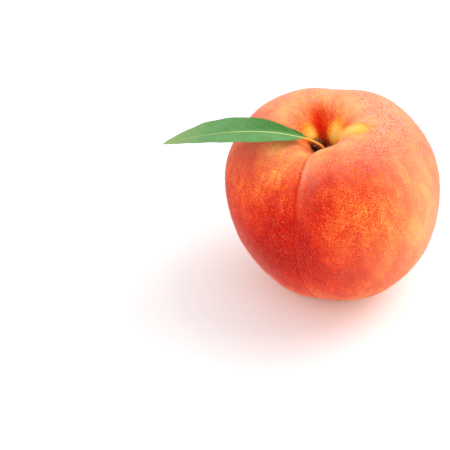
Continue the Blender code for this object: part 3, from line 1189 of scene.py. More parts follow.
        # The down and its rim by the seam are partly painted sheen and highlight.
        rim = sum(beside.of(across) * along.of(out) for beside, along in self.rim_down_and_highlight) * upper
        down = (down + rim) * self.down_start.of(out)
        # The lip's paler ring is partly painted light, and the down's paleness partly painted sheen.
        pale = pale + self.lip_gold_and_light.of(out) * upper + self.down_and_sheen_paleness * np.clip(down, 0.0, 1.0)
        cleft = self.cleft.cover(azimuth, out)
        pads = sum(pad.cover(azimuth, out) for pad in self.pads)
        gold = np.clip(pads + self.ridge_gold * self.ridge.cover(azimuth, out), 0.0, 1.0)
        gold = gold * (1.0 - self.cleft_over_gold * cleft) * upper
        down = np.clip(down * (1.0 - gold) * (1.0 - cleft), 0.0, 1.0)
        # Russet floor, partly painted shade deep in the hollow.
        floor_out = out - sum(tongue.cover(azimuth, out) for tongue in self.tongues)
        reach = self.streak_start + self.streak_spread * out
        length = (polar + 0.0 * azimuth) * form.radius
        way = np.stack([reach * np.sin(azimuth), -reach * np.cos(azimuth), length], axis=-1)
        store(mesh, "blush_and_shade", self.even_blush + red - pale, 0.5, 0.3)
        store(mesh, "down", down, 0.0, 0.1)
        store(mesh, "seam", self.seam.cover(across, polar, out), 0.0, 0.0)
        store(mesh, "gold", gold, 0.0, 0.0)
        store(mesh, "cleft", cleft * upper, 0.0, 0.0)
        store(mesh, "floor", (1.0 - self.floor.of(floor_out)) * upper, 1.0, 0.0)
        store(mesh, "way", way, [0.0, 0.0, 0.0], [0.0, 0.0, form.radius * math.pi])


@dataclass(frozen=True)
class SkinFinish:
    """Downy skin: a yellow ground under a streaked and speckled red blush, with bare gold and dark russet.

    The russet's darkest brown is partly painted shade deep in the hollow, and the down's pale veil and dots
    are partly painted sheen and glints.
    """

    ripeness: tuple[tuple[float, tuple], ...] = (
        (0.00, paint(253, 192, 88)),
        (0.20, paint(247, 142, 62)),
        (0.40, paint(239, 90, 32)),
        (0.60, paint(222, 44, 12)),
        (0.80, paint(198, 18, 4)),
        (1.00, paint(168, 8, 2)),
    )
    gold: tuple[tuple[float, tuple], ...] = (
        (0.15, paint(246, 140, 36)),
        (0.50, paint(252, 184, 42)),
        (0.95, paint(252, 212, 116)),
    )
    cleft_red: tuple = paint(216, 26, 4)
    # Russet of the hollow's floor; its darkest brown is partly painted shade.
    russet_and_shade: tuple[tuple[float, tuple], ...] = (
        (0.20, paint(206, 88, 26)),
        (0.50, paint(128, 48, 18)),
        (0.90, paint(64, 24, 14)),
    )
    seam_red: tuple = paint(192, 22, 6)
    # The down's veil and pale dots: partly the hairs' own pale colour, partly painted sheen and glints.
    down: tuple = paint(255, 192, 160)
    fleck: tuple = paint(255, 200, 176)
    streak_size: float = 3.4 * MM
    streak_squash: float = 0.16
    cloud_size: float = 8.0 * MM
    cloud_squash: float = 0.55
    fleck_size: float = 1.6 * MM
    crack_size: float = 1.2 * MM
    grain_size: float = 0.40 * MM
    grain_contrast: float = 3.8
    streak_weight: float = 0.12
    cloud_weight: float = 0.24
    fleck_weight: float = 0.18
    grain_weight: float = 0.46
    gold_fray: tuple[float, float] = (0.84, 0.595)
    gold_edge: tuple[float, float] = (0.10, 0.55)
    gold_reach: tuple[float, float] = (0.02, 0.25)
    crack_edge: tuple[float, float] = (0.40, 0.64)
    crack_shares: tuple[float, float] = (0.20, 0.95)
    russet_fray: tuple[float, float] = (0.64, 0.35)
    russet_edge: tuple[float, float] = (0.12, 0.62)
    veil_span: tuple[float, float] = (0.15, 0.85)
    veil_shares: tuple[float, float] = (0.08, 0.84)
    dots_full: float = 0.6
    dots_least: float = 0.54
    bare_from: float = 0.8
    bare_share: float = 0.1
    relief: float = 0.10 * MM
    relief_strength: float = 0.35
    roughness: float = 0.75
    gloss: float = 0.02
    sheen: float = 0.46
    sheen_roughness: float = 0.30
    sheen_tint: tuple = (1.0, 0.72, 0.62, 1.0)

    def make(self, effects: Effects) -> bpy.types.Material:
        """Builds the skin's material.

        Args:
            effects: The shared node groups.

        Returns:
            The material.
        """
        material, bench, shader = new_material("peach_skin")
        here = bench.place()
        flecks = bench.noise(here, self.fleck_size, detail=3.0, roughness=0.65)
        grain = bench.use(effects.speckle, where=here, size=self.grain_size, contrast=self.grain_contrast)
        colour = self.blushed(bench, effects, flecks, grain["Value"])
        colour = self.marked(bench, colour, flecks, grain["Value"])
        colour = self.downy_and_sheen(bench, colour, grain)
        bench.feed(shader.inputs["Base Color"], colour)
        shader.inputs["Roughness"].default_value = self.roughness
        shader.inputs["Specular IOR Level"].default_value = self.gloss
        shader.inputs["Sheen Weight"].default_value = self.sheen
        shader.inputs["Sheen Roughness"].default_value = self.sheen_roughness
        shader.inputs["Sheen Tint"].default_value = self.sheen_tint
        relief = bench.bump(flecks, self.relief, self.relief_strength)
        relief = bench.bump(grain["Value"], self.relief, self.relief_strength, relief)
        bench.feed(shader.inputs["Normal"], relief)
        return material

    def blushed(self, bench: Bench, effects: Effects, flecks: Socket, grain: Socket) -> Socket:
        """The colour of ripeness, which streaks, clouds, flecks and grain make uneven.

        Args:
            bench: The bench for the material's nodes.
            effects: The shared node groups.
            flecks: The flecks' noise.
            grain: The grain's value.

        Returns:
            The colour.
        """
        way = bench.kept("way", vector=True)
        lengthways = bench.stretched(way, (1.0, 1.0, self.streak_squash))
        streaks = bench.use(effects.mottle, where=lengthways, size=self.streak_size, fray=0.6)
        drawn_out = bench.stretched(way, (1.0, 1.0, self.cloud_squash))
        clouds = bench.use(effects.mottle, where=drawn_out, size=self.cloud_size, fray=0.65)
        uneven = bench.total(
            # Ripeness here holds painted shade on the lower left and the leaf's painted shadow.
            bench.kept("blush_and_shade"),
            bench.swing(streaks["Value"], self.streak_weight),
            bench.swing(clouds["Value"], self.cloud_weight),
            bench.swing(flecks, self.fleck_weight),
            bench.swing(grain, self.grain_weight),
        )
        return bench.ramp(uneven, self.ripeness)

    def marked(self, bench: Bench, colour: Socket, flecks: Socket, grain: Socket) -> Socket:
        """Lays the cleft's red, the gold, the seam's torn red and the russet floor over the skin.

        The russet floor's darkest brown is partly painted shade deep in the hollow.

        Args:
            bench: The bench for the material's nodes.
            colour: The skin's colour.
            flecks: The flecks' noise, which frays the edges of the gold and the russet.
            grain: The grain's value, which does so too.

        Returns:
            The colour.
        """
        colour = bench.mix(bench.kept("cleft"), colour, self.cleft_red)
        by_flecks, by_grain = self.gold_fray
        gold = bench.total(bench.kept("gold"), bench.swing(flecks, by_flecks), bench.swing(grain, by_grain))
        reach = bench.remap(bench.kept("gold"), *self.gold_reach)
        held = bench.product(bench.remap(gold, *self.gold_edge), reach)
        colour = bench.mix(held, colour, bench.ramp(gold, self.gold))
        torn = bench.noise(bench.place(), self.crack_size, detail=3.0, roughness=0.75)
        cracks = bench.product(bench.kept("seam"), bench.remap(torn, *self.crack_edge, *self.crack_shares))
        colour = bench.mix(cracks, colour, self.seam_red)
        # The russet floor, partly painted shade deep in the hollow.
        by_flecks, by_grain = self.russet_fray
        floor = bench.total(bench.kept("floor"), bench.swing(flecks, by_flecks), bench.swing(grain, by_grain))
        return bench.mix(bench.remap(floor, *self.russet_edge), colour, bench.ramp(floor, self.russet_and_shade))

    def downy_and_sheen(self, bench: Bench, colour: Socket, grain: Sockets) -> Socket:
        """Lays the down's pale veil and dots over the skin, apart from its bare markings.

        The veil and dots are partly the hairs' own pale colour and partly painted sheen and glints.

        Args:
            bench: The bench for the material's nodes.
            colour: The skin's colour.
            grain: What the grain puts out.

        Returns:
            The colour.
        """
        # Painted sheen and glints, partly the hairs' own pale colour: the down's veil and pale dots.
        down = bench.kept("down")
        markings = bench.total(bench.kept("cleft"), bench.kept("gold"), bench.kept("seam"))
        grown = bench.remap(markings, 0.0, self.bare_from, 1.0, self.bare_share)
        veil = bench.product(down, bench.remap(grain["Value"], *self.veil_span, *self.veil_shares), grown)
        often = bench.remap(down, 0.0, self.dots_full, self.dots_least, 1.0)
        dots = bench.product(grain["Dots"], often, grown)
        return bench.mix(dots, bench.mix(veil, colour, self.down), self.fleck)


# ---------------------------------------------------------------------------------------------------------
# The down
# ---------------------------------------------------------------------------------------------------------


@dataclass(frozen=True)
class Down:
    """The fruit's down: tens of thousands of short tapering hairs, each a slim closed spike of four faces."""

    hairs: int = 46000
    length: float = 0.75 * MM
    root_radius: float = 0.015 * MM
    lengths: tuple[float, float] = (0.45, 1.15)
    sunk: float = 0.03 * MM
    comb: float = 0.55
    askew: float = 0.37
    seed: int = 5

    def build(
        self, points: np.ndarray, normals: np.ndarray, growth: np.ndarray, material: bpy.types.Material
    ) -> bpy.types.Object:
        """Scatters the hairs over the skin.

        A hair's root is a random place in a grid cell picked by its area. It leans from the outward direction
        by a random amount, and its three-sided foot is sunk a little into the skin. The foot lies across the
        hair: its directions are cross products, the first with a direction a little askew of the outward one.

        Args:
            points: The skin's grid of points.
            normals: The outward directions at those points.
            growth: How thickly they grow there, from 0 to 1.
            material: The hairs' finish.

        Returns:
            The piece.
        """
        chance = np.random.default_rng(self.seed)
        right, below = np.roll(points, -1, axis=1)[:-1], points[1:]
        area = np.linalg.norm(np.cross(right - points[:-1], below - points[:-1]), axis=-1) * growth[:-1]
        cell = chance.choice(area.size, self.hairs, p=(area / area.sum()).ravel())
        row, column = np.unravel_index(cell, area.shape)
        sideways, downways = chance.random((2, self.hairs, 1))
        here = points[row, column]
        root = here + (right[row, column] - here) * sideways + (below[row, column] - here) * downways
        outward = normals[row, column]
        lean = chance.normal(size=(self.hairs, 3)) * self.comb
        direction = unit(outward + lean - outward * np.sum(lean * outward, axis=-1, keepdims=True))
        tall = self.length * chance.uniform(*self.lengths, (self.hairs, 1))
        side = unit(np.cross(direction, outward + self.askew))
        other = np.cross(direction, side)
        feet = [
            root - outward * self.sunk + self.root_radius * (math.cos(turn) * side + math.sin(turn) * other)
            for turn in (0.0, TAU / 3.0, 2.0 * TAU / 3.0)
        ]
        corners = np.stack([*feet, root + direction * tall], axis=1).reshape(-1, 3)
        spike = np.array([(0, 1, 3), (1, 2, 3), (2, 0, 3), (2, 1, 0)])
        faces = np.arange(self.hairs)[:, None, None] * 4 + spike
        mesh = mesh_from_loops("peach_down", corners, faces.ravel(), np.arange(self.hairs * 4) * 3)
        store(mesh, "height", np.tile([0.0, 0.0, 0.0, 1.0], self.hairs))
        return show(mesh, material, Slot.SKIN)


@dataclass(frozen=True)
class DownFinish:
    """Pale hairs, warmer at the root than at the tip, and a little uneven from hair to hair."""

    root: tuple = paint(240, 96, 44)
    tip: tuple = paint(255, 190, 150)
    patch_size: float = 2.0 * MM
    roughness: float = 0.55
    gloss: float = 0.3

    def make(self, effects: Effects) -> bpy.types.Material:
        """Builds the hairs' material.

        Args:
            effects: The shared node groups.

        Returns:
            The material.
        """
        material, bench, shader = new_material("peach_down")
        uneven = bench.use(effects.mottle, where=bench.place(), size=self.patch_size, fray=0.5)
        share = bench.product(bench.kept("height"), bench.remap(uneven["Value"], 0.0, 1.0, 0.7, 1.0))
        bench.feed(shader.inputs["Base Color"], bench.mix(share, self.root, self.tip))
        shader.inputs["Roughness"].default_value = self.roughness
        shader.inputs["Specular IOR Level"].default_value = self.gloss
        return material


# ---------------------------------------------------------------------------------------------------------
# The stem's stub
# ---------------------------------------------------------------------------------------------------------


@dataclass(frozen=True)
class StemStub:
    """The woody stub in the hollow: a fluted, knobbly peg with a ragged, sunken broken top."""

    form: PeachForm
    height: float = 3.6 * MM
    foot_radius: float = 1.3 * MM
    profile: tuple[tuple[float, float], ...] = (
        (0.0, 0.70),
        (0.10, 0.98),
        (0.35, 0.86),
        (0.62, 1.02),
        (0.86, 1.32),
        (1.0, 1.28),
    )
    break_radius: float = 1.674 * MM
    break_start: float = 0.72
    break_end: float = 0.995
    break_depth: float = 0.35 * MM
    break_roundness: float = 0.9
    bottom: float = 0.04
    side: float = 0.93
    raggedness: float = 0.16 * MM
    flutes: tuple[Ripple, ...] = (Ripple(0.07, 7.0), Ripple(0.04, 13.0, 2.0))
    flute_twist: float = 1.5
    knob_height: float = 0.07
    wart_height: float = 0.03
    grain_length: float = 3.0
    lean_left: float = math.radians(20.0)
    foot: tuple[float, float] = (-1.1 * MM, -0.5 * MM)
    clearance: float = 2.95 * MM
    rings: int = 90
    columns: int = 96

    def build(self, material: bpy.types.Material) -> bpy.types.Object:
        """Builds the stub.

        The peg's radius follows a waisted profile, whose places and radii are shares of its height and of its
        foot's radius, times 1 plus flutes round it and random knobs. Past the rim the surface turns in over
        the broken top, which is sunken and ragged.

        Args:
            material: The bark's finish.

        Returns:
            The piece.
        """
        share = np.linspace(0.0, self.break_end, self.rings)[:, None]
        turn = np.linspace(0.0, TAU, self.columns, endpoint=False)[None, :]
        round_it = np.stack([np.cos(turn) + 0.0 * share, np.sin(turn) + 0.0 * share], axis=-1)
        up = np.clip(share / self.break_start, 0.0, 1.0)
        over = np.clip((share - self.break_start) / (1.0 - self.break_start), 0.0, 1.0) + 0.0 * turn
        radius = np.interp(up, *zip(*self.profile)) * self.foot_radius
        radius = np.where(over > 0.0, self.break_radius * (1.0 - over) ** self.break_roundness, radius)
        points = np.dstack([round_it * radius[..., None], up * self.height + 0.0 * turn])
        knobs = self.knob_height * waves(points, size=1.1 * MM, count=10, seed=3)
        warts = self.wart_height * waves(points, size=0.4 * MM, count=12, seed=4)
        twisted, straight = self.flutes
        flutes = twisted.of(turn, self.flute_twist * up) + straight.of(turn)
        radius = radius * (1.0 + flutes * (1.0 - over) + knobs + warts)
        ragged = self.raggedness * waves(points, size=0.55 * MM, count=12, seed=6) * eased(up, 0.9, 1.0)
        sunken = self.break_depth * eased(over, 0.0, 0.5)
        high = self.height * (self.bottom + self.side * up) + ragged - sunken
        grid = np.dstack([round_it * radius[..., None], high])
        floor = self.form.skin(np.array(0.0), np.array(0.0))[2]
        foot = np.array([*self.foot, floor + self.clearance])
        standing = self.form.stand(grid @ rotation(-self.lean_left, 1).T + foot)
        mesh = round_grid_mesh("stem_stub_bark", standing[:, ::-1])
        grain = np.dstack([round_it, share * self.grain_length + 0.0 * turn])[:, ::-1] * MM
        store(mesh, "broken", over, 0.0, 1.0)
        store(mesh, "grain", grain, [0.0, 0.0, 0.0], [0.0, 0.0, self.grain_length * MM])
        return show(mesh, material, Slot.BARK, "stem_stub")


@dataclass(frozen=True)
class BarkFinish:
    """Dry bark, streaked along its length, and plainer brown over the break."""

    dark: tuple = paint(58, 30, 14)
    middle: tuple = paint(112, 66, 30)
    pale: tuple = paint(170, 122, 66)
    break_colour: tuple = paint(118, 74, 38)
    streak_size: float = 0.35 * MM
    streak_squash: float = 0.25
    streak_share: float = 0.7
    streak_depth: float = 0.12 * MM
    break_share: float = 0.7
    grain_size: float = 0.22 * MM
    grain_depth: float = 0.06 * MM
    roughness: float = 0.85

    def make(self, effects: Effects) -> bpy.types.Material:
        """Builds the bark's material.

        Args:
            effects: The shared node groups.

        Returns:
            The material.
        """
        material, bench, shader = new_material("stem_bark")
        here = bench.place()
        along = bench.stretched(bench.kept("grain", vector=True), (1.0, 1.0, self.streak_squash))
        streaks = bench.use(effects.mottle, where=along, size=self.streak_size, fray=0.6)
        grain = bench.use(effects.speckle, where=here, size=self.grain_size, contrast=1.8)
        streaked = bench.product(streaks["Value"], self.streak_share)
        value = bench.total(streaked, bench.product(grain["Value"], 1.0 - self.streak_share))
        colour = bench.ramp(value, ((0.1, self.dark), (0.5, self.middle), (0.95, self.pale)))
        colour = bench.mix(bench.product(bench.kept("broken"), self.break_share), colour, self.break_colour)
        bench.feed(shader.inputs["Base Color"], colour)
        shader.inputs["Roughness"].default_value = self.roughness
        relief = bench.bump(streaks["Value"], self.streak_depth, 0.8)
        bench.feed(shader.inputs["Normal"], bench.bump(grain["Value"], self.grain_depth, 0.7, relief))
        return material


# ---------------------------------------------------------------------------------------------------------
# The leaf
# ---------------------------------------------------------------------------------------------------------


@dataclass(frozen=True)
class LeafForm:
    """The leaf's line and width, with the same sizes as its CAD solid. Places are from the fruit's centre."""

    centre: tuple[float, float, float]
    stalk_foot: tuple = (-2.6 * MM, -5.0 * MM, 19.3 * MM)
    stalk_rise: tuple = (-0.33, -0.09, 0.94)
    blade_root: tuple = (-9.0 * MM, -7.4 * MM, 25.8 * MM)
    arch_start: tuple = (-23.0 * MM, -15.9 * MM, 35.2 * MM)
    arch_end: tuple = (-40.0 * MM, -7.6 * MM, 26.2 * MM)
    tip: tuple = (-58.4 * MM, -2.7 * MM, 16.5 * MM)
    half_width: float = 7.0 * MM
    fullness: float = 0.8
    near_belly: float = 0.90
    far_belly: float = 0.97
    near_rise: float = math.radians(8.0)
    far_rise: float = math.radians(12.0)
    tip_rise: float = math.radians(19.0)
    thickness: float = 0.26 * MM
    camber: float = 0.45 * MM
    bowed: Span = Span(1.0, 5.0)

    def bow(self, shares: np.ndarray) -> np.ndarray:
        """How far the blade's middle is bowed up: the camber times the sine of pi times the share."""
        arch = np.sin(math.pi * np.clip(shares, 0.0, 1.0))
        return self.camber * arch * self.bowed.of(self.width(shares))

    def midrib(self, shares: np.ndarray) -> np.ndarray:
        """Points of the midrib: one cubic curve through the arch.

        Args:
            shares: How far along the blade, from 0 to 1.

        Returns:
            The points.
        """
        knots = np.array([self.blade_root, self.arch_start, self.arch_end, self.tip]) + np.array(self.centre)
        return bezier(knots, shares)

    def stalk(self, shares: np.ndarray) -> np.ndarray:
        """Points of the stalk: a cubic curve that rises from its foot and turns into the midrib.

        Args:
            shares: How far up the stalk, from 0 to 1.

        Returns:
            The points.
        """
        foot, top = np.array(self.stalk_foot), np.array(self.blade_root)
        onward = unit(np.array(self.arch_start) - top)
        third = float(np.linalg.norm(top - foot)) / 3.0
        knots = np.array([foot, foot + np.array(self.stalk_rise) * third, top - onward * third, top])
        return bezier(knots + np.array(self.centre), shares)

    def width(self, shares: np.ndarray, belly: float = 1.0) -> np.ndarray:
        """Half the blade's width: the sine of pi times the share to a power, itself to a power.

        Args:
            shares: How far along the blade, from 0 to 1.
            belly: The first power, which is above 1 where the widest place lies nearer the tip.

        Returns:
            The half width.
        """
        wave = np.sin(math.pi * np.clip(shares, 0.0, 1.0) ** belly)
        return self.half_width * np.clip(wave, 0.0, 1.0) ** self.fullness

    def frames(self, line: np.ndarray) -> tuple[np.ndarray, np.ndarray]:
        """The directions to a line's far side and up from it, at each point.

        Args:
            line: The line's points.

        Returns:
            The two unit vectors for each point.
        """
        ahead = unit(np.gradient(line, axis=0))
        far = unit(np.cross(ahead, np.array([0.0, 0.0, 1.0])))
        return far, unit(np.cross(far, ahead))


@dataclass(frozen=True)
class LeafBlade:
    """The leaf's blade: a thin toothed sheet with sunken side veins, puckers between them and a wavy edge."""

    form: LeafForm
    rows: int = 420
    columns: int = 36
    ends: tuple[float, float] = (0.004, 0.9985)
    edge_closeness: float = 0.55
    root_rows: int = 24
    root_reach: float = 0.05
    root_swell: float = 1.3 * MM
    root_middle: float = 0.045
    root_spread: float = 0.055
    stalk_share: float = 0.30
    near_start: float = 0.03
    near_least: float = 0.02 * MM
    width_wave: Ripple = Ripple(0.008, 760.0, 1.0)
    tooth_pitch: float = 1.15 * MM
    tooth_depth: float = 0.22 * MM
    tooth_hook: float = 1.6
    tooth_stray: Ripple = Ripple(0.35, 900.0)
    toothed: Span = Span(0.6, 2.5)
    vein_pitch: float = 4.3 * MM
    vein_width: float = 0.26 * MM
    vein_depth: float = 0.04 * MM
    vein_slant: float = 0.9
    vein_bend: float = 11.0 * MM
    vein_paint: float = 1.15
    pucker: float = 0.04 * MM
    pucker_spread: float = 0.24
    crumple: float = 0.03 * MM
    edge_wave: Ripple = Ripple(0.10 * MM, 620.0)
    edge_stagger: float = 1.4
    wavy: Span = Span(2.0, 5.0)
    keel_width: float = 0.7 * MM
    off_keel: Span = Span(0.5, 3.0)

    def vein_distance(self, along: np.ndarray, across: np.ndarray) -> np.ndarray:
        """The distance along the blade to the nearest side vein.

        A vein leaves the midrib slanting forwards and bends further forwards as it nears the edge, so it is a
        line on which the place along, less the slant times the place across and a square term, stays the
        same. The veins of the two halves alternate.

        Args:
            along: The place along the blade.
            across: The place across it, positive on the far half.

        Returns:
            The distance, up to half the pitch.
        """
        side = np.abs(across)
        slanted = along - self.vein_slant * side - side**2 / self.vein_bend
        phase = slanted / self.vein_pitch + np.where(across > 0.0, 0.5, 0.0)
        return np.abs(phase - np.round(phase)) * self.vein_pitch

    def across(
        self, shares: np.ndarray, along: np.ndarray, loop: np.ndarray
    ) -> tuple[np.ndarray, np.ndarray]:
        """The blade's outline: two unlike halves, a swollen root on the far one, and teeth along both.

        Args:
            shares: How far along the blade each row is.
            along: The same as a distance, as a column.
            loop: How far across it each place is, from -1 to 1, as a row.

        Returns:
            The place across the blade at each point, and the half width there without its teeth.
        """
        form = self.form
        rooted = eased(shares, -1.1 * self.root_reach, -0.2 * self.root_reach)
        swell = self.root_swell * bell(shares - self.root_middle, self.root_spread) * rooted
        far_half = form.width(shares, form.far_belly) + swell
        near_shares = (shares - self.near_start) / (1.0 - self.near_start)
        near_half = form.width(near_shares, form.near_belly) + self.near_least
        half = np.where(loop > 0.0, far_half[:, None], near_half[:, None]) * (1.0 + self.width_wave.of(along))
        tooth = (along / self.tooth_pitch + self.tooth_stray.of(along)) % 1.0
        bite = self.tooth_depth * tooth**self.tooth_hook * self.toothed.of(form.width(shares)[:, None])
        return loop * (half - bite * np.abs(loop) ** 14), half

    def relief(
        self, across: np.ndarray, distance: np.ndarray, loop: np.ndarray, line: np.ndarray
    ) -> np.ndarray:
        """How far the sheet stands up: puckers between the veins, less the veins and a random crumple.

        Args:
            across: The place across the blade.
            distance: The distance to the nearest vein.
            loop: How far across the blade each place is, from -1 to 1.
            line: The points of the blade's middle line.

        Returns:
            The relief at each point, which fades out over the keel.
        """
        swelling = 1.0 - bell(distance, self.vein_pitch * self.pucker_spread)
        puckers = self.pucker * swelling * (1.0 - np.abs(loop) ** 4)
        veins = self.vein_depth * bell(distance, self.vein_width) * (1.0 - np.abs(loop) ** 6)
        crumple = self.crumple * waves(line[:, None] + 0.0 * loop[..., None], size=2.0 * MM, count=6, seed=8)
        return (puckers - veins - crumple) * (1.0 - bell(across, self.keel_width))

    def build(self, material: bpy.types.Material) -> bpy.types.Object:
        """Builds the blade as a closed sheet: each row runs over the upper face and back under the lower one.

        Each half rises from the midrib at its own angle. The middle is bowed up between the edges, and the
        edges wave.

        Args:
            material: The blade's finish.

        Returns:
            The piece.
        """
        form = self.form
        ahead = np.linspace(*self.ends, self.rows)
        behind = np.linspace(-1.0, 0.0, self.root_rows, endpoint=False)
        shares = np.concatenate([behind * self.root_reach, ahead])
        line = np.concatenate([form.stalk(1.0 + behind * self.stalk_share), form.midrib(ahead)])
        far, upward = form.frames(line)
        steps = np.linalg.norm(np.diff(line, axis=0), axis=-1)
        along = np.concatenate([[0.0], np.cumsum(steps)])[:, None]
        even = np.linspace(-1.0, 1.0, self.columns + 1)
        lid = even + self.edge_closeness * (np.sin(even * math.pi / 2.0) - even)
        loop = np.concatenate([lid[::-1], lid[1:-1]])[None, :]
        under = np.concatenate([np.zeros(self.columns + 1), np.ones(self.columns - 1)]) + 0.0 * along
        across, half = self.across(shares, along, loop)
        distance = self.vein_distance(along, across)
        far_rise = form.far_rise + form.tip_rise * eased(shares, 0.35, 0.85)[:, None]
        rise = np.where(across > 0.0, far_rise, form.near_rise)
        bowed = form.bow(shares)[:, None] * (1.0 - loop**2)
        wave = self.edge_wave.of(along, self.edge_stagger * np.sign(loop)) * np.abs(loop) ** 2.5
        lift = np.abs(across) * np.sin(rise) + bowed + wave * self.wavy.of(half)
        lift = lift + self.relief(across, distance, loop, line) * self.off_keel.of(half)
        sink = under * form.thickness * np.sqrt(1.0 - np.abs(loop) ** 10)
        level = far[:, None] * (across * np.cos(rise))[..., None]
        grid = line[:, None] + level + upward[:, None] * (lift - sink + form.thickness / 2.0)[..., None]
        mesh = round_grid_mesh("leaf_blade", grid)
        flat = np.stack([along + 0.0 * loop, across, under], axis=-1)
        store(mesh, "flat", flat, flat[0].mean(0), flat[-1].mean(0))
        store(mesh, "vein", bell(distance, self.vein_width * self.vein_paint), 0.0, 0.0)
        store(mesh, "under", under, 0.0, 0.0)
        store(mesh, "side", across / form.half_width, 0.0, 0.0)
        store(mesh, "along", shares[:, None] + 0.0 * loop, 0.0, 1.0)
        return show(mesh, material, Slot.LEAF, "leaf")


@dataclass(frozen=True)
class LeafStalk:
    """The stalk and midrib: one tapering rib, swollen at its foot, channelled above and round below."""

    form: LeafForm
    stalk_rows: int = 60
    midrib_rows: int = 260
    columns: int = 24
    foot_radius: float = 0.66 * MM
    stalk_radius: float = 0.44 * MM
    rib_radius: float = 0.21 * MM
    tip_radius: float = 0.10 * MM
    stand: float = 0.09 * MM
    foot_spread: float = 0.035
    channel: float = 0.30
    channel_width: float = 0.55
    keel_taper: float = 0.4
    unevenness: float = 0.05

    def build(self, material: bpy.types.Material) -> bpy.types.Object:
        """Builds the rib as a profile carried along its line.

        The profile is a circle with a shallow channel above on the stalk. Along the blade it stands a little
        over the upper face and further below the lower one. Its radius falls from the foot to the tip.

        Args:
            material: The rib's finish.

        Returns:
            The piece.
        """
        form = self.form
        stalk = form.stalk(np.linspace(0.0, 1.0, self.stalk_rows))[:-1]
        midrib = form.midrib(np.linspace(0.0, 0.99, self.midrib_rows))
        line = np.concatenate([stalk, midrib])
        far, upward = form.frames(line)
        share = np.linspace(0.0, 1.0, len(line))[:, None]
        past = np.clip(np.linspace(-len(stalk) / len(midrib), 1.0, len(line)), 0.0, 1.0)[:, None]
        onto = eased(past, 0.0, 0.12)
        radius = self.stalk_radius + (self.rib_radius - self.stalk_radius) * onto
        radius = radius + (self.tip_radius - self.rib_radius) * eased(past, 0.05, 1.0)
        radius = radius + (self.foot_radius - self.stalk_radius) * bell(share, self.foot_spread)
        turn = np.linspace(0.0, TAU, self.columns, endpoint=False)[None, :]
        channel = self.channel * bell(wrapped(turn - math.pi / 2.0), self.channel_width)
        uneven = self.unevenness * waves(line, size=1.6 * MM, count=8, seed=21)[:, None]
        shape = radius * (1.0 - channel * (1.0 - eased(past, 0.0, 0.10)) + uneven)
        upper = np.clip(np.sin(turn), 0.0, 1.0) * (shape + (self.stand - shape) * onto)
        keel = shape + form.thickness * onto * (1.0 - self.keel_taper * past)
        lower = np.clip(np.sin(turn), -1.0, 0.0) * keel
        lift = upper + lower + (form.bow(past[:, 0])[:, None] + form.thickness / 2.0) * onto
        sideways = far[:, None] * (shape * np.cos(turn))[..., None]
        mesh = round_grid_mesh("leaf_stalk", line[:, None] + sideways + upward[:, None] * lift[..., None])
        store(mesh, "past", past + 0.0 * turn, 0.0, 1.0)
        store(mesh, "up", share + 0.0 * turn, 0.0, 1.0)
        return show(mesh, material, Slot.LEAF)


@dataclass(frozen=True)
class LeafFinish:
    """Green blade: darker at the far half's root, bluish bloom over the middle, and a fine net of veins."""

    deep: tuple = paint(36, 102, 8)
    middle: tuple = paint(84, 138, 64)
    bloom: tuple = paint(108, 162, 106)
    tip: tuple = paint(154, 178, 114)
    vein: tuple = paint(140, 184, 108)
    under: tuple = paint(150, 184, 126)
    cloud_size: float = 5.0 * MM
    grain_size: float = 0.35 * MM
    grain_share: float = 0.26
    grain_depth: float = 0.03 * MM
    net_size: float = 0.75 * MM
    net_share: float = 0.22
    net_depth: float = 0.05 * MM
    net_line: float = 0.14
    vein_share: float = 0.15
    under_share: float = 0.8
    root_span: tuple = (0.14, 0.72)
    fold_span: tuple = (-0.1, 0.35)
    near_shade: float = 0.20
    bloom_shares: tuple = (0.35, 0.85)
    tip_start: float = 0.62
    tip_share: float = 0.90
    roughness: tuple = (0.46, 0.60)
    gloss: float = 0.22

    def make(self, effects: Effects) -> bpy.types.Material:
        """Builds the blade's material.

        Args:
            effects: The shared node groups.

        Returns:
            The material.
        """
        material, bench, shader = new_material("leaf_blade")
        flat = bench.kept("flat", vector=True)
        along = bench.kept("along")
        clouds = bench.use(effects.mottle, where=flat, size=self.cloud_size, fray=0.6)
        grain = bench.use(effects.speckle, where=flat, size=self.grain_size, contrast=2.4)
        cells = bench.cells(flat, 1.0 / self.net_size, Cells.TO_EDGE)
        net = bench.remap(cells["Distance"], 0.0, self.net_line, 1.0, 0.0)
        from_root = bench.remap(along, *self.root_span, 1.0, 0.0)
        far_half = bench.remap(bench.kept("side"), *self.fold_span)
        shade = bench.product(from_root, bench.remap(far_half, 0.0, 1.0, self.near_shade, 1.0))
        bloomed = bench.remap(clouds["Value"], 0.0, 1.0, *self.bloom_shares)
        colour = bench.mix(bloomed, self.middle, self.bloom)
        colour = bench.mix(shade, colour, self.deep)
        colour = bench.mix(bench.remap(along, self.tip_start, 1.0, 0.0, self.tip_share), colour, self.tip)
        colour = bench.mix(bench.product(net, self.net_share), colour, self.vein)
        colour = bench.mix(bench.product(bench.kept("vein"), self.vein_share), colour, self.vein)
        colour = bench.mix(bench.remap(grain["Value"], 0.2, 1.0, 0.0, self.grain_share), colour, self.deep)
        colour = bench.mix(bench.product(bench.kept("under"), self.under_share), colour, self.under)
        bench.feed(shader.inputs["Base Color"], colour)
        bench.feed(shader.inputs["Roughness"], bench.remap(clouds["Value"], 0.0, 1.0, *self.roughness))
        shader.inputs["Specular IOR Level"].default_value = self.gloss
        relief = bench.bump(net, self.net_depth, 0.5)
        bench.feed(shader.inputs["Normal"], bench.bump(grain["Value"], self.grain_depth, 0.5, relief))
        return material


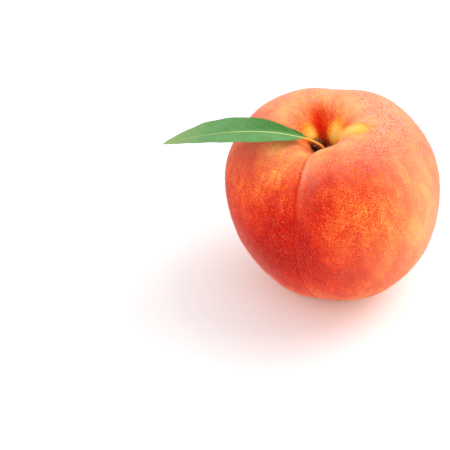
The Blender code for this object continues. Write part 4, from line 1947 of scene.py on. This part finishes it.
@dataclass(frozen=True)
class StalkFinish:
    """Stalk and midrib: reddish amber at the foot, yellow up the stalk, and pale yellow-green to the tip."""

    foot: tuple = paint(150, 84, 30)
    stalk: tuple = paint(244, 186, 78)
    rib: tuple = paint(206, 216, 136)
    tip: tuple = paint(168, 194, 118)
    cloud_size: float = 1.6 * MM
    grain_size: float = 0.25 * MM
    grain_depth: float = 0.04 * MM
    uneven_share: float = 0.14
    foot_end: float = 0.07
    rib_full: float = 0.14
    tip_start: float = 0.4
    roughness: tuple = (0.42, 0.58)

    def make(self, effects: Effects) -> bpy.types.Material:
        """Builds the rib's material.

        Args:
            effects: The shared node groups.

        Returns:
            The material.
        """
        material, bench, shader = new_material("leaf_stalk")
        here = bench.place()
        clouds = bench.use(effects.mottle, where=here, size=self.cloud_size, fray=0.6)
        grain = bench.use(effects.speckle, where=here, size=self.grain_size, contrast=1.5)
        colour = bench.mix(bench.remap(bench.kept("up"), 0.0, self.foot_end), self.foot, self.stalk)
        colour = bench.mix(bench.remap(bench.kept("past"), 0.0, self.rib_full), colour, self.rib)
        colour = bench.mix(bench.remap(bench.kept("past"), self.tip_start, 1.0), colour, self.tip)
        colour = bench.mix(bench.remap(clouds["Value"], 0.0, 1.0, 0.0, self.uneven_share), colour, self.foot)
        bench.feed(shader.inputs["Base Color"], colour)
        bench.feed(shader.inputs["Roughness"], bench.remap(clouds["Value"], 0.0, 1.0, *self.roughness))
        bench.feed(shader.inputs["Normal"], bench.bump(grain["Value"], self.grain_depth, 0.5))
        return material


# ---------------------------------------------------------------------------------------------------------
# The studio
# ---------------------------------------------------------------------------------------------------------


@dataclass(frozen=True)
class Lamp:
    """A soft square light that faces the fruit, with its place from the fruit's centre."""

    name: str
    place: tuple[float, float, float]
    size: float
    power: float
    colour: tuple[float, float, float] = (1.0, 1.0, 1.0)

    def build(self, centre: np.ndarray) -> None:
        """Hangs the light and turns it to face the fruit.

        Args:
            centre: The fruit's centre.
        """
        light = bpy.data.lights.new(self.name, "AREA")
        light.size = self.size
        light.energy = self.power
        light.color = self.colour
        lamp = bpy.data.objects.new(self.name, light)
        lamp.location = Vector(centre) + Vector(self.place)
        lamp.rotation_euler = Vector(self.place).to_track_quat("Z", "Y").to_euler()
        bpy.context.scene.collection.objects.link(lamp)


@dataclass(frozen=True)
class Studio:
    """A plain pale floor, soft lights, and a camera that looks down on the fruit from the front."""

    centre: tuple[float, float, float]
    floor_half_width: float = 2.5
    floor_colour: tuple = paint(246, 246, 246)
    floor_shade: tuple = (0.8, 0.8, 0.8, 1.0)
    floor_drop: float = 0.02 * MM
    floor_roughness: float = 0.9
    floor_cloud: float = 300.0 * MM
    floor_unevenness: float = 0.02
    sky: float = 0.98
    elevation: float = math.radians(38.0)
    distance: float = 438.9 * MM
    aim_left: float = 36.34 * MM
    aim_up: float = -15.38 * MM
    lens: float = 100.0
    sensor_width: float = 36.0
    lamps: tuple[Lamp, ...] = (
        Lamp("key_light", (0.30, 0.10, 0.48), 0.34, 1.34, (1.0, 0.985, 0.96)),
        Lamp("front_light", (-0.25, -0.50, 0.32), 0.45, 0.8),
        Lamp("rim_light", (0.42, 0.38, 0.20), 0.30, 1.0),
    )

    def build(self) -> None:
        """Builds the floor, the lights and the camera."""
        self.build_floor()
        self.build_sky()
        for lamp in self.lamps:
            lamp.build(np.array(self.centre))
        self.build_camera()
        bpy.context.scene.view_settings.view_transform = "Standard"
        bpy.context.scene.view_settings.look = "None"

    def build_floor(self) -> None:
        """Lays a broad square floor a hair below the fruit's resting spot."""
        half = self.floor_half_width
        corners = [(-half, -half), (half, -half), (half, half), (-half, half)]
        mesh = bpy.data.meshes.new("floor")
        mesh.from_pydata([(x, y, -self.floor_drop) for x, y in corners], [], [(0, 1, 2, 3)])
        floor = bpy.data.objects.new("floor", mesh)
        bpy.context.scene.collection.objects.link(floor)
        material, bench, shader = new_material("floor")
        cloud = bench.product(bench.noise(bench.place(), self.floor_cloud), self.floor_unevenness)
        bench.feed(shader.inputs["Base Color"], bench.mix(cloud, self.floor_colour, self.floor_shade))
        shader.inputs["Roughness"].default_value = self.floor_roughness
        mesh.materials.append(material)

    def build_sky(self) -> None:
        """Surrounds the scene with an even white light."""
        world = bpy.data.worlds.new("studio")
        world.use_nodes = True
        background = world.node_tree.nodes["Background"]
        background.inputs["Color"].default_value = (1.0, 1.0, 1.0, 1.0)
        background.inputs["Strength"].default_value = self.sky
        bpy.context.scene.world = world

    def build_camera(self) -> None:
        """Sets the camera in front of and above the fruit, aimed to its left, so that the leaf has room."""
        back = Vector((0.0, -math.cos(self.elevation), math.sin(self.elevation)))
        right = Vector((1.0, 0.0, 0.0))
        upward = back.cross(right)
        data = bpy.data.cameras.new("camera")
        data.lens = self.lens
        data.sensor_width = self.sensor_width
        camera = bpy.data.objects.new("camera", data)
        camera.location = Vector(self.centre) + back * self.distance
        target = Vector(self.centre) - right * self.aim_left + upward * self.aim_up
        camera.rotation_euler = (camera.location - target).to_track_quat("Z", "Y").to_euler()
        bpy.context.scene.collection.objects.link(camera)
        bpy.context.scene.camera = camera


def main() -> None:
    """Builds the peach piece by piece, then the studio round it."""
    logging.basicConfig(level=logging.INFO, format="%(name)s %(message)s")
    effects = Effects(make_speckle_group(), make_mottle_group())
    form = PeachForm()
    centre = tuple(form.centre())
    points, normals, growth = PeachSkin(form).build(SkinFinish().make(effects))
    Down().build(points, normals, growth, DownFinish().make(effects))
    StemStub(form).build(BarkFinish().make(effects))
    leaf = LeafForm(centre)
    LeafBlade(leaf).build(LeafFinish().make(effects))
    LeafStalk(leaf).build(StalkFinish().make(effects))
    Studio(centre).build()


if __name__ == "__main__":
    main()
